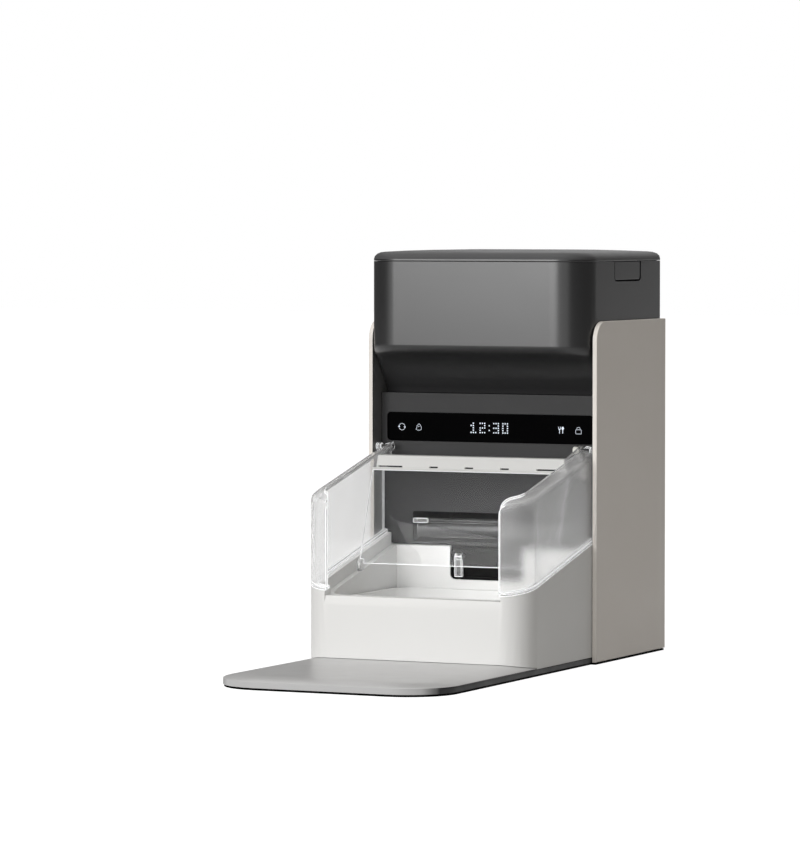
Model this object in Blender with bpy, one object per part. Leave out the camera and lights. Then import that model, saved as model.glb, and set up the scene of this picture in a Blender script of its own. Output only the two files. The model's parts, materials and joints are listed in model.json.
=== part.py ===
"""Microchip pet feeder: a raised food hopper over a bowl tray with a clear flap.

Metres, +Z up. +X is to the right seen from the front, +Y runs to the back.
The origin is on the floor, at the centre of the footprint.
"""

import math

import bmesh
import bpy
from mathutils import Vector

# Overall size
PANEL_SPAN = 0.1956
TOTAL_LENGTH = 0.427
TOTAL_HEIGHT = 0.320
FIT_GAP = 0.0003
CUT_OVERRUN = 0.004
WELD_GAP = 0.00001

# Side panels
PANEL_THICKNESS = 0.0038
PANEL_TOP_DROP = 0.055
PANEL_DEPTH = 0.1405
PANEL_CORNER_RADIUS = 0.015
PANEL_EDGE_ROUND = 0.0012

# Anti-slip mat, base plate and platform
MAT_THICKNESS = 0.0014
MAT_INSET = 0.0008
BASE_TOP = 0.0054
BASE_CORNER_RADIUS = 0.040
PLATFORM_TOP = 0.0095
PLATFORM_EDGE = 0.0005
PLATFORM_ROLL = 0.022
PLATFORM_ROLL_SHARES = ((0, 0), (0.03, 0.13), (0.12, 0.33), (0.3, 0.58), (0.5, 0.78),
                        (0.75, 0.94), (1, 1))
PLATFORM_TUCK = 0.0225
LIP_DEPTH = 0.020
LIP_THICKNESS = 0.003

# Bowl tray
TRAY_REACH = 0.1275
TRAY_CORNER_RADIUS = 0.023
TRAY_WALL = 0.003
TRAY_SLOPE = 0.25
TRAY_WALL_TOP = 0.0929
TRAY_WALL_WIDTH = 0.0093
RIM_TOP = 0.0830
RIM_FRONT_HEIGHT = 0.0573
LIP_NOTCH_MARGIN = 0.0202
LIP_NOTCH_HEIGHT = 0.0075
LIP_NOTCH_DEPTH = 0.0016
TROUGH_MARGIN = 0.0137
TROUGH_FRONT_SETBACK = 0.0145
TROUGH_CORNER_RADIUS = 0.020
TROUGH_FLOOR = 0.013
TROUGH_FLOOR_THICKNESS = 0.003
TROUGH_WALL = 0.0025
BACK_WALL_TOP = 0.088
BACK_WALL_THICKNESS = 0.003

# Food bowl
BOWL_CLEARANCE = 0.0012
BOWL_RIM_HEIGHT = 0.0535
BOWL_WALL = 0.0018
BOWL_FLANGE = 0.0025
BOWL_DRAFT = 0.006
BOWL_CORNER_RADIUS = 0.0185

# Guards
GUARD_WALL = 0.0026
GUARD_TOP_DROP = 0.0007
GUARD_FLANGE = 0.0107
GUARD_FLANGE_RISE = 0.0068
GUARD_FRONT_MARGIN = 0.0214
GUARD_FOOT_WIDTH = 0.0055
GUARD_FOOT_HEIGHT = 0.002
GUARD_FRONT_DROP = 0.0030
GUARD_END_FLANGE = 0.0034
GUARD_CORNER_SHARES = (
    (0.18, 0.0, 0.0), (0.36, 0.0, 0.0), (0.54, 0.0, 0.0), (0.72, 0.05, 0.0), (0.88, 0.4, 0.0),
    (0.96, 0.85, 0.2), (1.0, 1.0, 1.0))
GUARD_CURVE_SHARES = ((0.0, 1.0), (0.06, 0.64), (0.22, 0.37), (0.52, 0.17), (1.0, 0.0))
GUARD_INNER_SHARES = (1.0, 0.45, 0.2)
GUARD_BOSS_RADIUS = 0.0026
GUARD_BOSS_LENGTH = 0.0015
GUARD_BOSS_BORE = 0.0019

# Flap
FLAP_MARGIN = 0.0117
PIVOT_BACK = 0.0075
PIVOT_HEIGHT = 0.1650
PIN_RADIUS = 0.0016
BEAM_SETBACK = 0.0207
BEAM_TOP_DROP = 0.0055
BEAM_HEIGHT = 0.0111
BEAM_WALL = 0.0020
BEAM_LIP = 0.0016
BEAM_LEAN = 0.0029
BEAM_LEDGE = 0.0047
BEAM_STRIP = 0.0013
BEAM_RETURN = 0.012
BEAM_SLOT_HEIGHT = 0.0013
BEAM_SLOT_RISE = 0.0003
BEAM_SLOT_SHORT = 0.0072
BEAM_SLOT_LONG = 0.0207
BEAM_SLOT_PITCH_SHARE = 0.3683
BEAM_SLOT_MARGIN = 0.0145
FLAP_PANEL_THICKNESS = 0.002
FLAP_PANEL_SETBACK = 0.0005
FLAP_PANEL_LEAN = 0.0245
FLAP_PANEL_BOTTOM = 0.0765
FLAP_NOTCH = 0.0032
ARM_THICKNESS = 0.0023
ARM_KNUCKLE = 0.0032
ARM_HEEL = 0.008
ARM_WAIST = 0.0024
ARM_WAIST_RISE = 0.0130
ARM_ROUND_START = -115
ARM_ROUND_END = 110
BUMPER_LENGTH = 0.0052
BUMPER_OVERHANG = 0.0007

# Gear teeth
GEAR_PRESSURE_ANGLE = math.radians(25)
GEAR_TIP_SHARE = 0.85
GEAR_ROOT_SHARE = 1.15
GEAR_TOOTH_SHARE = 0.88

# Flap drive
FLAP_GEAR_MODULE = 0.00125
FLAP_GEAR_TEETH = 24
FLAP_PINION_TEETH = 10
FLAP_GEAR_WIDTH = 0.004
FLAP_GEAR_HUB = 0.0030
FLAP_DRIVE_ANGLE = math.radians(-48)
FLAP_SECTOR_LOW = math.radians(-64)
FLAP_SECTOR_HIGH = math.radians(20)
FLAP_MOTOR_LENGTH = 0.0275
FLAP_MOTOR_DEPTH = 0.0115
FLAP_MOTOR_HEIGHT = 0.012
MOTOR_SHAFT_RADIUS = 0.0015

# Fascia and display
FASCIA_SETBACK = 0.015
FASCIA_THICKNESS = 0.0032
FASCIA_TOP_MARGIN = 0.0152
DISPLAY_MARGIN = 0.0052
DISPLAY_RISE = 0.0042
DISPLAY_HEIGHT = 0.0228
DISPLAY_CORNER_RADIUS = 0.003
DISPLAY_GLASS = 0.002
DISPLAY_LIP = 0.0035
BOARD_THICKNESS = 0.0016
DRIVE_SLOT_RISE = 0.0033
DRIVE_SLOT_DROP = 0.025
DRIVE_SLOT_MARGIN = 0.0008
OUTLET_MARGIN = 0.0277
OUTLET_BOTTOM = 0.0905
OUTLET_TOP = 0.1138

# Hopper shell
HOPPER_OVERHANG = 0.020
LID_RISE = 0.009
HOPPER_CORNER_RADIUS = 0.028
HOPPER_BACK_RADIUS = 0.003
HOPPER_FRONT_SHARE = 0.3738
HOPPER_WALL = 0.0025
NECK_SETBACK = 0.0255
NECK_SHAPE_SHARES = (
    (0.0, 1.0, 0.054), (0.117, 0.971, 0.064), (0.299, 0.844, 0.09), (0.481, 0.692, 0.143),
    (0.584, 0.593, 0.214), (0.688, 0.473, 0.357), (0.766, 0.33, 0.536), (0.818, 0.187, 0.714),
    (0.857, 0.099, 0.839), (0.922, 0.033, 0.946), (1.0, 0.0, 1.0))
NECK_WALL_LIFT = 0.0015
LATCH_START = 0.117
LATCH_WIDTH = 0.054
LATCH_HEIGHT = 0.0157
LATCH_THICKNESS = 0.0022
LATCH_RECESS = 0.0003
LATCH_GROOVE = 0.0014
LATCH_CORNER_RADIUS = 0.004

# Food tub
TUB_MARGIN = 0.0069
TUB_WALL = 0.002
TUB_TOP_DROP = 0.0025
TUB_FUNNEL_SHARE = 0.5279
TUB_FLANGE = 0.0018

# Lid
LID_EDGE_ROUND = 0.0056
LID_EDGE_REACH = 0.0085
LID_DOME = 0.0016
LID_DOME_INSET = 0.0465
LID_DOME_SHARES = (0.35, 0.7, 1.0)
LID_WALL = 0.0025
LID_SKIRT_DEPTH = 0.009
LID_SKIRT_GAP = 0.0022
LID_SKIRT_WALL = 0.002
LID_RIB_DEPTH = 0.0012
LID_RIB_WALL = 0.0012
SEAL_HEIGHT = 0.004
SEAL_WIDTH = 0.0016
DESICCANT_HALF = 0.032
DESICCANT_DEPTH = 0.046
DESICCANT_HEIGHT = 0.013
DESICCANT_WALL = 0.0015
DESICCANT_SLOT = 0.0022
DESICCANT_SLOT_PITCH = 0.0085

# Dispenser
DRUM_AXIS_BACK = 0.077
DRUM_AXIS_DROP = 0.0352
DRUM_RADIUS = 0.031
DRUM_WALL = 0.0025
DRUM_HALF = 0.036
DRUM_INLET_HALF = 0.022
DRUM_OUTLET_HALF = 0.015
DRUM_INLET_DROP = 0.0015
DRUM_OUTLET_DROP = 0.0385
ROTOR_TIP_GAP = 0.0015
ROTOR_HUB = 0.009
ROTOR_VANE = 0.002
ROTOR_VANES = 6
ROTOR_SHAFT_RADIUS = 0.003
ROTOR_GEAR_MODULE = 0.0016
ROTOR_GEAR_TEETH = 24
ROTOR_PINION_TEETH = 10
ROTOR_GEAR_WIDTH = 0.0045
ROTOR_GEAR_OFFSET = 0.0025
DISPENSER_MOTOR_RADIUS = 0.0125

# Chute and outlet flap
CHUTE_WALL = 0.002
CHUTE_REAR_HALF = 0.039
CHUTE_REAR_REACH = 0.0865
CHUTE_REAR_DROP = 0.0095
CHUTE_REAR_RISE = 0.0075
OUTLET_ROD_RADIUS = 0.0012
OUTLET_ROD_SETBACK = 0.0028
OUTLET_ROD_DROP = 0.0073
OUTLET_FLAP_WALL = 0.0016
OUTLET_FLAP_BULGE = 0.0028
OUTLET_FLAP_BULGE_SHARES = (0.0, 0.55, 0.9, 1.0, 0.85, 0.5)
OUTLET_FLAP_DROP = 0.0130
OUTLET_FLAP_SIDE_GAP = 0.0025
HINGE_CAP_LENGTH = 0.0122
HINGE_CAP_HEIGHT = 0.0034
HINGE_CAP_DROP = 0.0
HINGE_CAP_THICKNESS = 0.0017

# Pocket and latch in the trough's back wall
POCKET_HALF = 0.0323
POCKET_OFFSET = -0.001
POCKET_BOTTOM = 0.0613
POCKET_TOP = 0.0855
POCKET_DEPTH = 0.008
POCKET_WALL = 0.0016
POCKET_CORNER_RADIUS = 0.004
LATCH_LEVER_WIDTH = 0.0055
LATCH_LEVER_LENGTH = 0.0156
LATCH_LEVER_THICKNESS = 0.003
LATCH_LEVER_KNOB = 0.0026
LATCH_LEVER_HUB = 0.00234
LATCH_LEVER_PIN = 0.0010
LATCH_LEVER_DROP = 0.0024
LATCH_LEVER_INSET = 0.0037

# Inner frame and back
FRAME_WALL = 0.0025
DECK_HOLE_HALF = 0.050
DECK_HOLE_MARGIN = 0.013
REAR_COVER_THICKNESS = 0.0032
SCREW_RADIUS = 0.0016
SCREW_HEAD_RADIUS = 0.0031
SCREW_HEAD_HEIGHT = 0.0018
SCREW_LENGTH = 0.010
SCREW_BOSS = 0.0042
SCREW_INSET = 0.0095
VENT_COUNT = 5
VENT_LENGTH = 0.026
VENT_HEIGHT = 0.0022
VENT_PITCH = 0.0056

# Batteries
CELL_RADIUS = 0.0166
CELL_LENGTH = 0.0605
CELL_SPACING = 0.0350
CELL_NUB_RADIUS = 0.0045
CELL_NUB_HEIGHT = 0.0015
BAY_WALL = 0.002
BAY_CLEARANCE = 0.0010
DOOR_THICKNESS = 0.0026
DOOR_MARGIN = 0.004
DOOR_CORNER_RADIUS = 0.004

# Electronics
SOCKET_WIDTH = 0.0092
SOCKET_HEIGHT = 0.0034
SOCKET_DEPTH = 0.0075
SOCKET_WALL = 0.0012
SOCKET_ROUND_SHARE = 0.98
SOCKET_MARGIN = 0.0237
SOCKET_RISE = 0.022
SPEAKER_RADIUS = 0.0135
SPEAKER_DEPTH = 0.0065
SPEAKER_MAGNET_DEPTH = 0.0104
SPEAKER_MARGIN = 0.0227
SPEAKER_RISE = 0.034
MAIN_BOARD_LENGTH = 0.078
MAIN_BOARD_HEIGHT = 0.070
MAIN_BOARD_RISE = 0.100
COIL_WIDTH = 0.004
COIL_HEIGHT = 0.0022
COIL_INSET = 0.0016

# Places that follow from the sizes above
BACK_Y = TOTAL_LENGTH / 2
BASE_FRONT_Y = -BACK_Y
PANEL_FRONT_Y = BACK_Y - PANEL_DEPTH
PANEL_INNER_X = PANEL_SPAN / 2 - PANEL_THICKNESS
BODY_HALF = PANEL_INNER_X - FIT_GAP
PANEL_HEIGHT = TOTAL_HEIGHT - PANEL_TOP_DROP
LIP_NOTCH_HALF = BODY_HALF - LIP_NOTCH_MARGIN
TROUGH_HALF = BODY_HALF - TROUGH_MARGIN
GUARD_FRONT_HALF = BODY_HALF - GUARD_FRONT_MARGIN
FLAP_HALF = BODY_HALF - FLAP_MARGIN
BEAM_SLOT_PITCH = FLAP_HALF * BEAM_SLOT_PITCH_SHARE
BEAM_SLOT_END = FLAP_HALF - BEAM_SLOT_MARGIN
DISPLAY_HALF = BODY_HALF - DISPLAY_MARGIN
OUTLET_HALF = BODY_HALF - OUTLET_MARGIN
TUB_HALF = BODY_HALF - TUB_MARGIN
SOCKET_OFFSET = BODY_HALF - SOCKET_MARGIN
SPEAKER_OFFSET = BODY_HALF - SPEAKER_MARGIN
GUARD_TOP = PIVOT_HEIGHT - GUARD_TOP_DROP
BEAM_TOP = PIVOT_HEIGHT - BEAM_TOP_DROP
BEAM_BOTTOM = BEAM_TOP - BEAM_HEIGHT
DRIVE_SLOT_TOP = PIVOT_HEIGHT + DRIVE_SLOT_RISE
DRIVE_SLOT_BOTTOM = PIVOT_HEIGHT - DRIVE_SLOT_DROP
DISPLAY_BOTTOM = PIVOT_HEIGHT + DISPLAY_RISE
DISPLAY_TOP = DISPLAY_BOTTOM + DISPLAY_HEIGHT
FASCIA_TOP = DISPLAY_TOP + FASCIA_TOP_MARGIN
DRUM_AXIS_HEIGHT = FASCIA_TOP - DRUM_AXIS_DROP
DRUM_INLET_TOP = FASCIA_TOP - DRUM_INLET_DROP
DRUM_OUTLET_BOTTOM = DRUM_AXIS_HEIGHT - DRUM_OUTLET_DROP
CHUTE_REAR_BOTTOM = DRUM_OUTLET_BOTTOM - CHUTE_REAR_DROP
CHUTE_REAR_TOP = DRUM_OUTLET_BOTTOM + CHUTE_REAR_RISE
HOPPER_SEAM = TOTAL_HEIGHT - LID_RISE
TUB_TOP = HOPPER_SEAM - TUB_TOP_DROP
HOPPER_FRONT_LOW = FASCIA_TOP + (HOPPER_SEAM - FASCIA_TOP) * HOPPER_FRONT_SHARE
TUB_FUNNEL_TOP = FASCIA_TOP + (HOPPER_SEAM - FASCIA_TOP) * TUB_FUNNEL_SHARE
BODY_BACK_Y = BACK_Y - FIT_GAP
MAT_TOP = MAT_THICKNESS
BASE_BOTTOM = MAT_TOP + FIT_GAP
TRAY_FRONT_Y = PANEL_FRONT_Y - TRAY_REACH
TRAY_BOTTOM = BASE_TOP + FIT_GAP
FASCIA_Y = PANEL_FRONT_Y + FASCIA_SETBACK
FASCIA_BACK_Y = FASCIA_Y + FASCIA_THICKNESS
FRAME_FRONT_Y = FASCIA_BACK_Y + FIT_GAP
TROUGH_FRONT_Y = TRAY_FRONT_Y + TROUGH_FRONT_SETBACK
TRAY_BACK_Y = FASCIA_Y + BACK_WALL_THICKNESS
TRAY_LEDGE_X = BODY_HALF - TRAY_WALL_WIDTH
PLATFORM_BACK_Y = TRAY_FRONT_Y + PLATFORM_TUCK
REAR_COVER_BACK_Y = BODY_BACK_Y - FIT_GAP
REAR_COVER_Y = REAR_COVER_BACK_Y - REAR_COVER_THICKNESS
FRAME_BACK_Y = REAR_COVER_Y - FIT_GAP
HOPPER_FRONT_Y = PANEL_FRONT_Y - HOPPER_OVERHANG
NECK_Y = PANEL_FRONT_Y + NECK_SETBACK
NECK_BOTTOM = FASCIA_TOP + FIT_GAP
PIVOT_Y = PANEL_FRONT_Y + PIVOT_BACK
BEAM_Y = PANEL_FRONT_Y - BEAM_SETBACK
DRUM_Y = PANEL_FRONT_Y + DRUM_AXIS_BACK
FRAME_INNER_X = BODY_HALF - FIT_GAP - FRAME_WALL


def slope_z(height, y):
    """Height at y of a line that rises towards the back from a height at the panels' front."""
    return height + TRAY_SLOPE * (y - PANEL_FRONT_Y)


# Scene helpers


def clear_scene():
    for obj in list(bpy.data.objects):
        bpy.data.objects.remove(obj)
    for store in (bpy.data.meshes, bpy.data.materials):
        for item in list(store):
            store.remove(item)


def material(name, colour, roughness, metallic=0.0, alpha=1.0):
    mat = bpy.data.materials.get(name)
    if mat:
        return mat
    mat = bpy.data.materials.new(name)
    mat.use_nodes = True
    shader = mat.node_tree.nodes["Principled BSDF"]
    shader.inputs["Base Color"].default_value = (*colour, 1.0)
    shader.inputs["Roughness"].default_value = roughness
    shader.inputs["Metallic"].default_value = metallic
    shader.inputs["Alpha"].default_value = alpha
    return mat


def taupe():
    return material("taupe_plastic", (0.62, 0.58, 0.54), 0.5)


def white():
    return material("white_plastic", (0.80, 0.80, 0.79), 0.4)


def charcoal():
    return material("charcoal_plastic", (0.065, 0.066, 0.068), 0.42)


def dark():
    return material("dark_plastic", (0.035, 0.035, 0.036), 0.5)


def pale_grey():
    return material("pale_grey_platform", (0.46, 0.46, 0.47), 0.35)


def clear():
    return material("clear_plastic", (0.85, 0.87, 0.88), 0.08, alpha=0.35)


def frosted():
    return material("frosted_plastic", (0.82, 0.83, 0.84), 0.35, alpha=0.5)


def glossy_black():
    return material("black_glass", (0.004, 0.004, 0.005), 0.06)


def rubber():
    return material("black_rubber", (0.012, 0.012, 0.012), 0.8)


def silicone():
    return material("pale_silicone", (0.5, 0.5, 0.5), 0.6)


def steel():
    return material("steel", (0.62, 0.62, 0.63), 0.28, metallic=1.0)


def copper():
    return material("copper_wire", (0.7, 0.33, 0.17), 0.35, metallic=1.0)


def green_board():
    return material("circuit_board", (0.02, 0.16, 0.07), 0.45)


def gear_white():
    return material("natural_acetal", (0.78, 0.77, 0.72), 0.4)


def cell_wrap():
    return material("cell_sleeve", (0.09, 0.11, 0.14), 0.35)


def link(mesh, name, mat=None, cutter=False):
    obj = bpy.data.objects.new(name, mesh)
    bpy.context.scene.collection.objects.link(obj)
    if mat:
        mesh.materials.append(mat)
    if cutter:
        obj.hide_render = True
        obj.display_type = "WIRE"
    return obj


def object_from(bm, name, mat=None, cutter=False):
    bmesh.ops.recalc_face_normals(bm, faces=bm.faces)
    mesh = bpy.data.meshes.new(name)
    bm.to_mesh(mesh)
    bm.free()
    return link(mesh, name, mat, cutter)


def smooth(obj, degrees=35):
    obj.data.shade_smooth()
    obj.data.set_sharp_from_angle(angle=math.radians(degrees))
    return obj


def combine(target, other, operation):
    other.hide_render = True
    other.display_type = "WIRE"
    boolean = target.modifiers.new(f"{operation.lower()} {other.name}", "BOOLEAN")
    boolean.operation = operation
    boolean.solver = "EXACT"
    boolean.object = other
    return target


def cut(target, *cutters):
    for cutter in cutters:
        combine(target, cutter, "DIFFERENCE")
    return target


def join(target, *others):
    for other in others:
        combine(target, other, "UNION")
    return target


def set_origin(obj, point):
    """Moves an object's origin without moving its shape."""
    place = Vector(point)
    for vertex in obj.data.vertices:
        vertex.co -= place
    obj.location = place
    return obj


def joint_empty(name, point):
    """An empty on a joint's axis, which the pieces of the moving body hang from."""
    empty = bpy.data.objects.new(name, None)
    empty.location = Vector(point)
    bpy.context.scene.collection.objects.link(empty)
    return empty


def hang(empty, *objects):
    for obj in objects:
        obj.parent = empty
        obj.location = obj.location - empty.location
    return empty


# Shape helpers


def extrude_outline(bm, points, vector):
    """A closed prism from a ring of points, moved along a vector."""
    ring = [bm.verts.new(point) for point in points]
    face = bm.faces.new(ring)
    top = bmesh.ops.extrude_face_region(bm, geom=[face])
    moved = [item for item in top["geom"] if isinstance(item, bmesh.types.BMVert)]
    bmesh.ops.translate(bm, verts=moved, vec=vector)
    return bm


def plan_prism(name, outline, low, high, mat=None, cutter=False):
    """A prism from an XY outline between two heights."""
    points = [(x, y, low) for x, y in outline]
    bm = extrude_outline(bmesh.new(), points, (0, 0, high - low))
    return object_from(bm, name, mat, cutter)


def side_prism(name, outline, left, right, mat=None, cutter=False):
    """A prism from a YZ outline between two X places."""
    points = [(left, y, z) for y, z in outline]
    bm = extrude_outline(bmesh.new(), points, (right - left, 0, 0))
    return object_from(bm, name, mat, cutter)


def face_prism(name, outline, front, back, mat=None, cutter=False):
    """A prism from an XZ outline between two Y places."""
    points = [(x, front, z) for x, z in outline]
    bm = extrude_outline(bmesh.new(), points, (0, back - front, 0))
    return object_from(bm, name, mat, cutter)


def block(name, x_span, y_span, z_span, mat=None, cutter=False):
    outline = rectangle(x_span, y_span)
    return plan_prism(name, outline, z_span[0], z_span[1], mat, cutter)


def rectangle(u_span, v_span):
    (u_low, u_high), (v_low, v_high) = u_span, v_span
    return [(u_low, v_low), (u_high, v_low), (u_high, v_high), (u_low, v_high)]


def arc_points(centre, radius, start, end, steps):
    """Points along an arc, angles in degrees."""
    points = []
    for step in range(steps + 1):
        angle = math.radians(start + (end - start) * step / steps)
        points.append((centre[0] + radius * math.cos(angle), centre[1] + radius * math.sin(angle)))
    return points


def rounded(u_span, v_span, radii, steps=4):
    """A rectangle with its corners rounded: radii run from low u, low v, anticlockwise."""
    (u_low, u_high), (v_low, v_high) = u_span, v_span
    corners = ((u_low, v_low, 1, 1, 180), (u_high, v_low, -1, 1, 270),
               (u_high, v_high, -1, -1, 0), (u_low, v_high, 1, -1, 90))
    points = []
    for (u, v, du, dv, start), radius in zip(corners, radii):
        if radius <= 0:
            points.append((u, v))
            continue
        centre = (u + du * radius, v + dv * radius)
        points += arc_points(centre, radius, start, start + 90, steps)
    return points


def cylinder_x(name, centre, radius, left, right, sides=24, mat=None, cutter=False):
    """A cylinder along X around a YZ centre."""
    outline = arc_points(centre, radius, 0, 360, sides)[:-1]
    return side_prism(name, outline, left, right, mat, cutter)


def cylinder_y(name, centre, radius, front, back, sides=16, mat=None, cutter=False):
    """A cylinder along Y around an XZ centre."""
    outline = arc_points(centre, radius, 0, 360, sides)[:-1]
    return face_prism(name, outline, front, back, mat, cutter)


def cylinder_z(name, centre, radius, low, high, sides=24, mat=None, cutter=False):
    """A cylinder along Z around an XY centre."""
    outline = arc_points(centre, radius, 0, 360, sides)[:-1]
    return plan_prism(name, outline, low, high, mat, cutter)


def loft(name, sections, mat=None, cutter=False):
    """A closed skin over rings of points that all have the same count."""
    bm = bmesh.new()
    rings = [[bm.verts.new(point) for point in section] for section in sections]
    count = len(rings[0])
    for first, second in zip(rings, rings[1:]):
        for index in range(count):
            after = (index + 1) % count
            bm.faces.new((first[index], first[after], second[after], second[index]))
    bm.faces.new(rings[0][::-1])
    bm.faces.new(rings[-1])
    return object_from(bm, name, mat, cutter)


def bevel_edges(obj, picks, width, segments):
    """Rounds the edges whose two ends both satisfy the test."""
    bm = bmesh.new()
    bm.from_mesh(obj.data)
    edges = [edge for edge in bm.edges if all(picks(vert.co) for vert in edge.verts)]
    bmesh.ops.bevel(bm, geom=edges, offset=width, segments=segments, profile=0.5,
                    affect="EDGES", clamp_overlap=True)
    bmesh.ops.remove_doubles(bm, verts=bm.verts, dist=WELD_GAP)
    bmesh.ops.recalc_face_normals(bm, faces=bm.faces)
    bm.to_mesh(obj.data)
    bm.free()
    return obj


def gear_outline(module, teeth, phase, first=None, last=None, steps=3):
    """Involute teeth around the origin, as polar pairs (angle, radius).

    The phase is the angle of a tooth's middle. Teeth are thinned a little, so that a
    pair runs with backlash. Angles outside first to last are left to the caller.
    """
    pitch = module * teeth / 2
    base = pitch * math.cos(GEAR_PRESSURE_ANGLE)
    tip = pitch + module * GEAR_TIP_SHARE
    root = pitch - module * GEAR_ROOT_SHARE
    start = max(base, root)
    half_at_pitch = math.pi / (2 * teeth) * GEAR_TOOTH_SHARE

    def spread(radius):
        ratio = min(1.0, base / radius)
        return math.tan(math.acos(ratio)) - math.acos(ratio)

    pairs = []
    for tooth in range(teeth):
        middle = phase + 2 * math.pi * tooth / teeth
        middle = (middle + math.pi) % (2 * math.pi) - math.pi
        if first is not None and not first <= middle <= last:
            continue
        flank = []
        for step in range(steps + 1):
            radius = start + (tip - start) * step / steps
            half = half_at_pitch + spread(pitch) - spread(radius)
            flank.append((half, radius))
        root_half = flank[0][0]
        pairs.append((middle, [(-root_half, root)] + [(-half, radius) for half, radius in flank]
                      + [(half, radius) for half, radius in reversed(flank)] + [(root_half, root)]))
    pairs.sort()
    return [(middle + offset, radius) for middle, tooth in pairs for offset, radius in tooth]


def polar_outline(centre, pairs):
    return [(centre[0] + radius * math.cos(angle), centre[1] + radius * math.sin(angle))
            for angle, radius in pairs]


# Base


def base_outline(inset=0.0, back=BODY_BACK_Y):
    radius = BASE_CORNER_RADIUS - inset
    side = BODY_HALF - inset
    return rounded((-side, side), (BASE_FRONT_Y + inset, back), (radius, radius, 0, 0), steps=8)


def make_mat():
    """Thin rubber sheet under the base, wider where the side panels stand on it."""
    side = PANEL_SPAN / 2 - MAT_INSET
    front = base_outline(MAT_INSET, BODY_BACK_Y - MAT_INSET)
    mat_sheet = plan_prism("anti_slip_mat", front, 0, MAT_TOP, rubber())
    wide = block("mat_under_panels", (-side, side),
                 (PANEL_FRONT_Y + MAT_INSET, BODY_BACK_Y - MAT_INSET), (0, MAT_TOP), cutter=True)
    return join(mat_sheet, wide)


def lip_ring(name, outer_inset, depth, low, high):
    """The strip along the platform's front edge and round its corners."""
    ring = plan_prism(name, base_outline(outer_inset), low, high, cutter=True)
    core = plan_prism(name + "_core", base_outline(depth, BACK_Y), low - CUT_OVERRUN,
                      high + CUT_OVERRUN, cutter=True)
    rear = block(name + "_rear", (-PANEL_SPAN, PANEL_SPAN),
                 (BASE_FRONT_Y + LIP_DEPTH + depth - LIP_THICKNESS, TOTAL_LENGTH),
                 (low - CUT_OVERRUN, high + CUT_OVERRUN), cutter=True)
    return cut(ring, core, rear)


def make_base_plate():
    plate = plan_prism("base_plate", base_outline(), BASE_BOTTOM, BASE_TOP, dark())
    clearance = lip_ring("base_lip_space", -CUT_OVERRUN, LIP_THICKNESS + FIT_GAP,
                         BASE_BOTTOM - CUT_OVERRUN, BASE_TOP + CUT_OVERRUN)
    return cut(plate, clearance)


def platform_sections(low, gap):
    """Rings of the platform from its floor up over its rolled-off edge, grown by a gap."""
    edge = TRAY_BOTTOM + PLATFORM_EDGE

    def ring(inset, z):
        outline = base_outline(inset - gap, PLATFORM_BACK_Y + gap)
        return [(x, y, z + gap) for x, y in outline]

    rise = PLATFORM_TOP - edge
    return [ring(0, low - gap)] + [
        ring(PLATFORM_ROLL * inwards, edge + rise * up) for inwards, up in PLATFORM_ROLL_SHARES]


def make_platform():
    """Standing platform whose top rolls off towards its front and sides."""
    low = TRAY_BOTTOM
    cover = loft("platform_cover", platform_sections(low, 0), pale_grey())
    lip = lip_ring("platform_lip", 0.0, LIP_THICKNESS, BASE_BOTTOM, low + FIT_GAP)
    return smooth(join(cover, lip))


# Bowl tray


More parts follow.
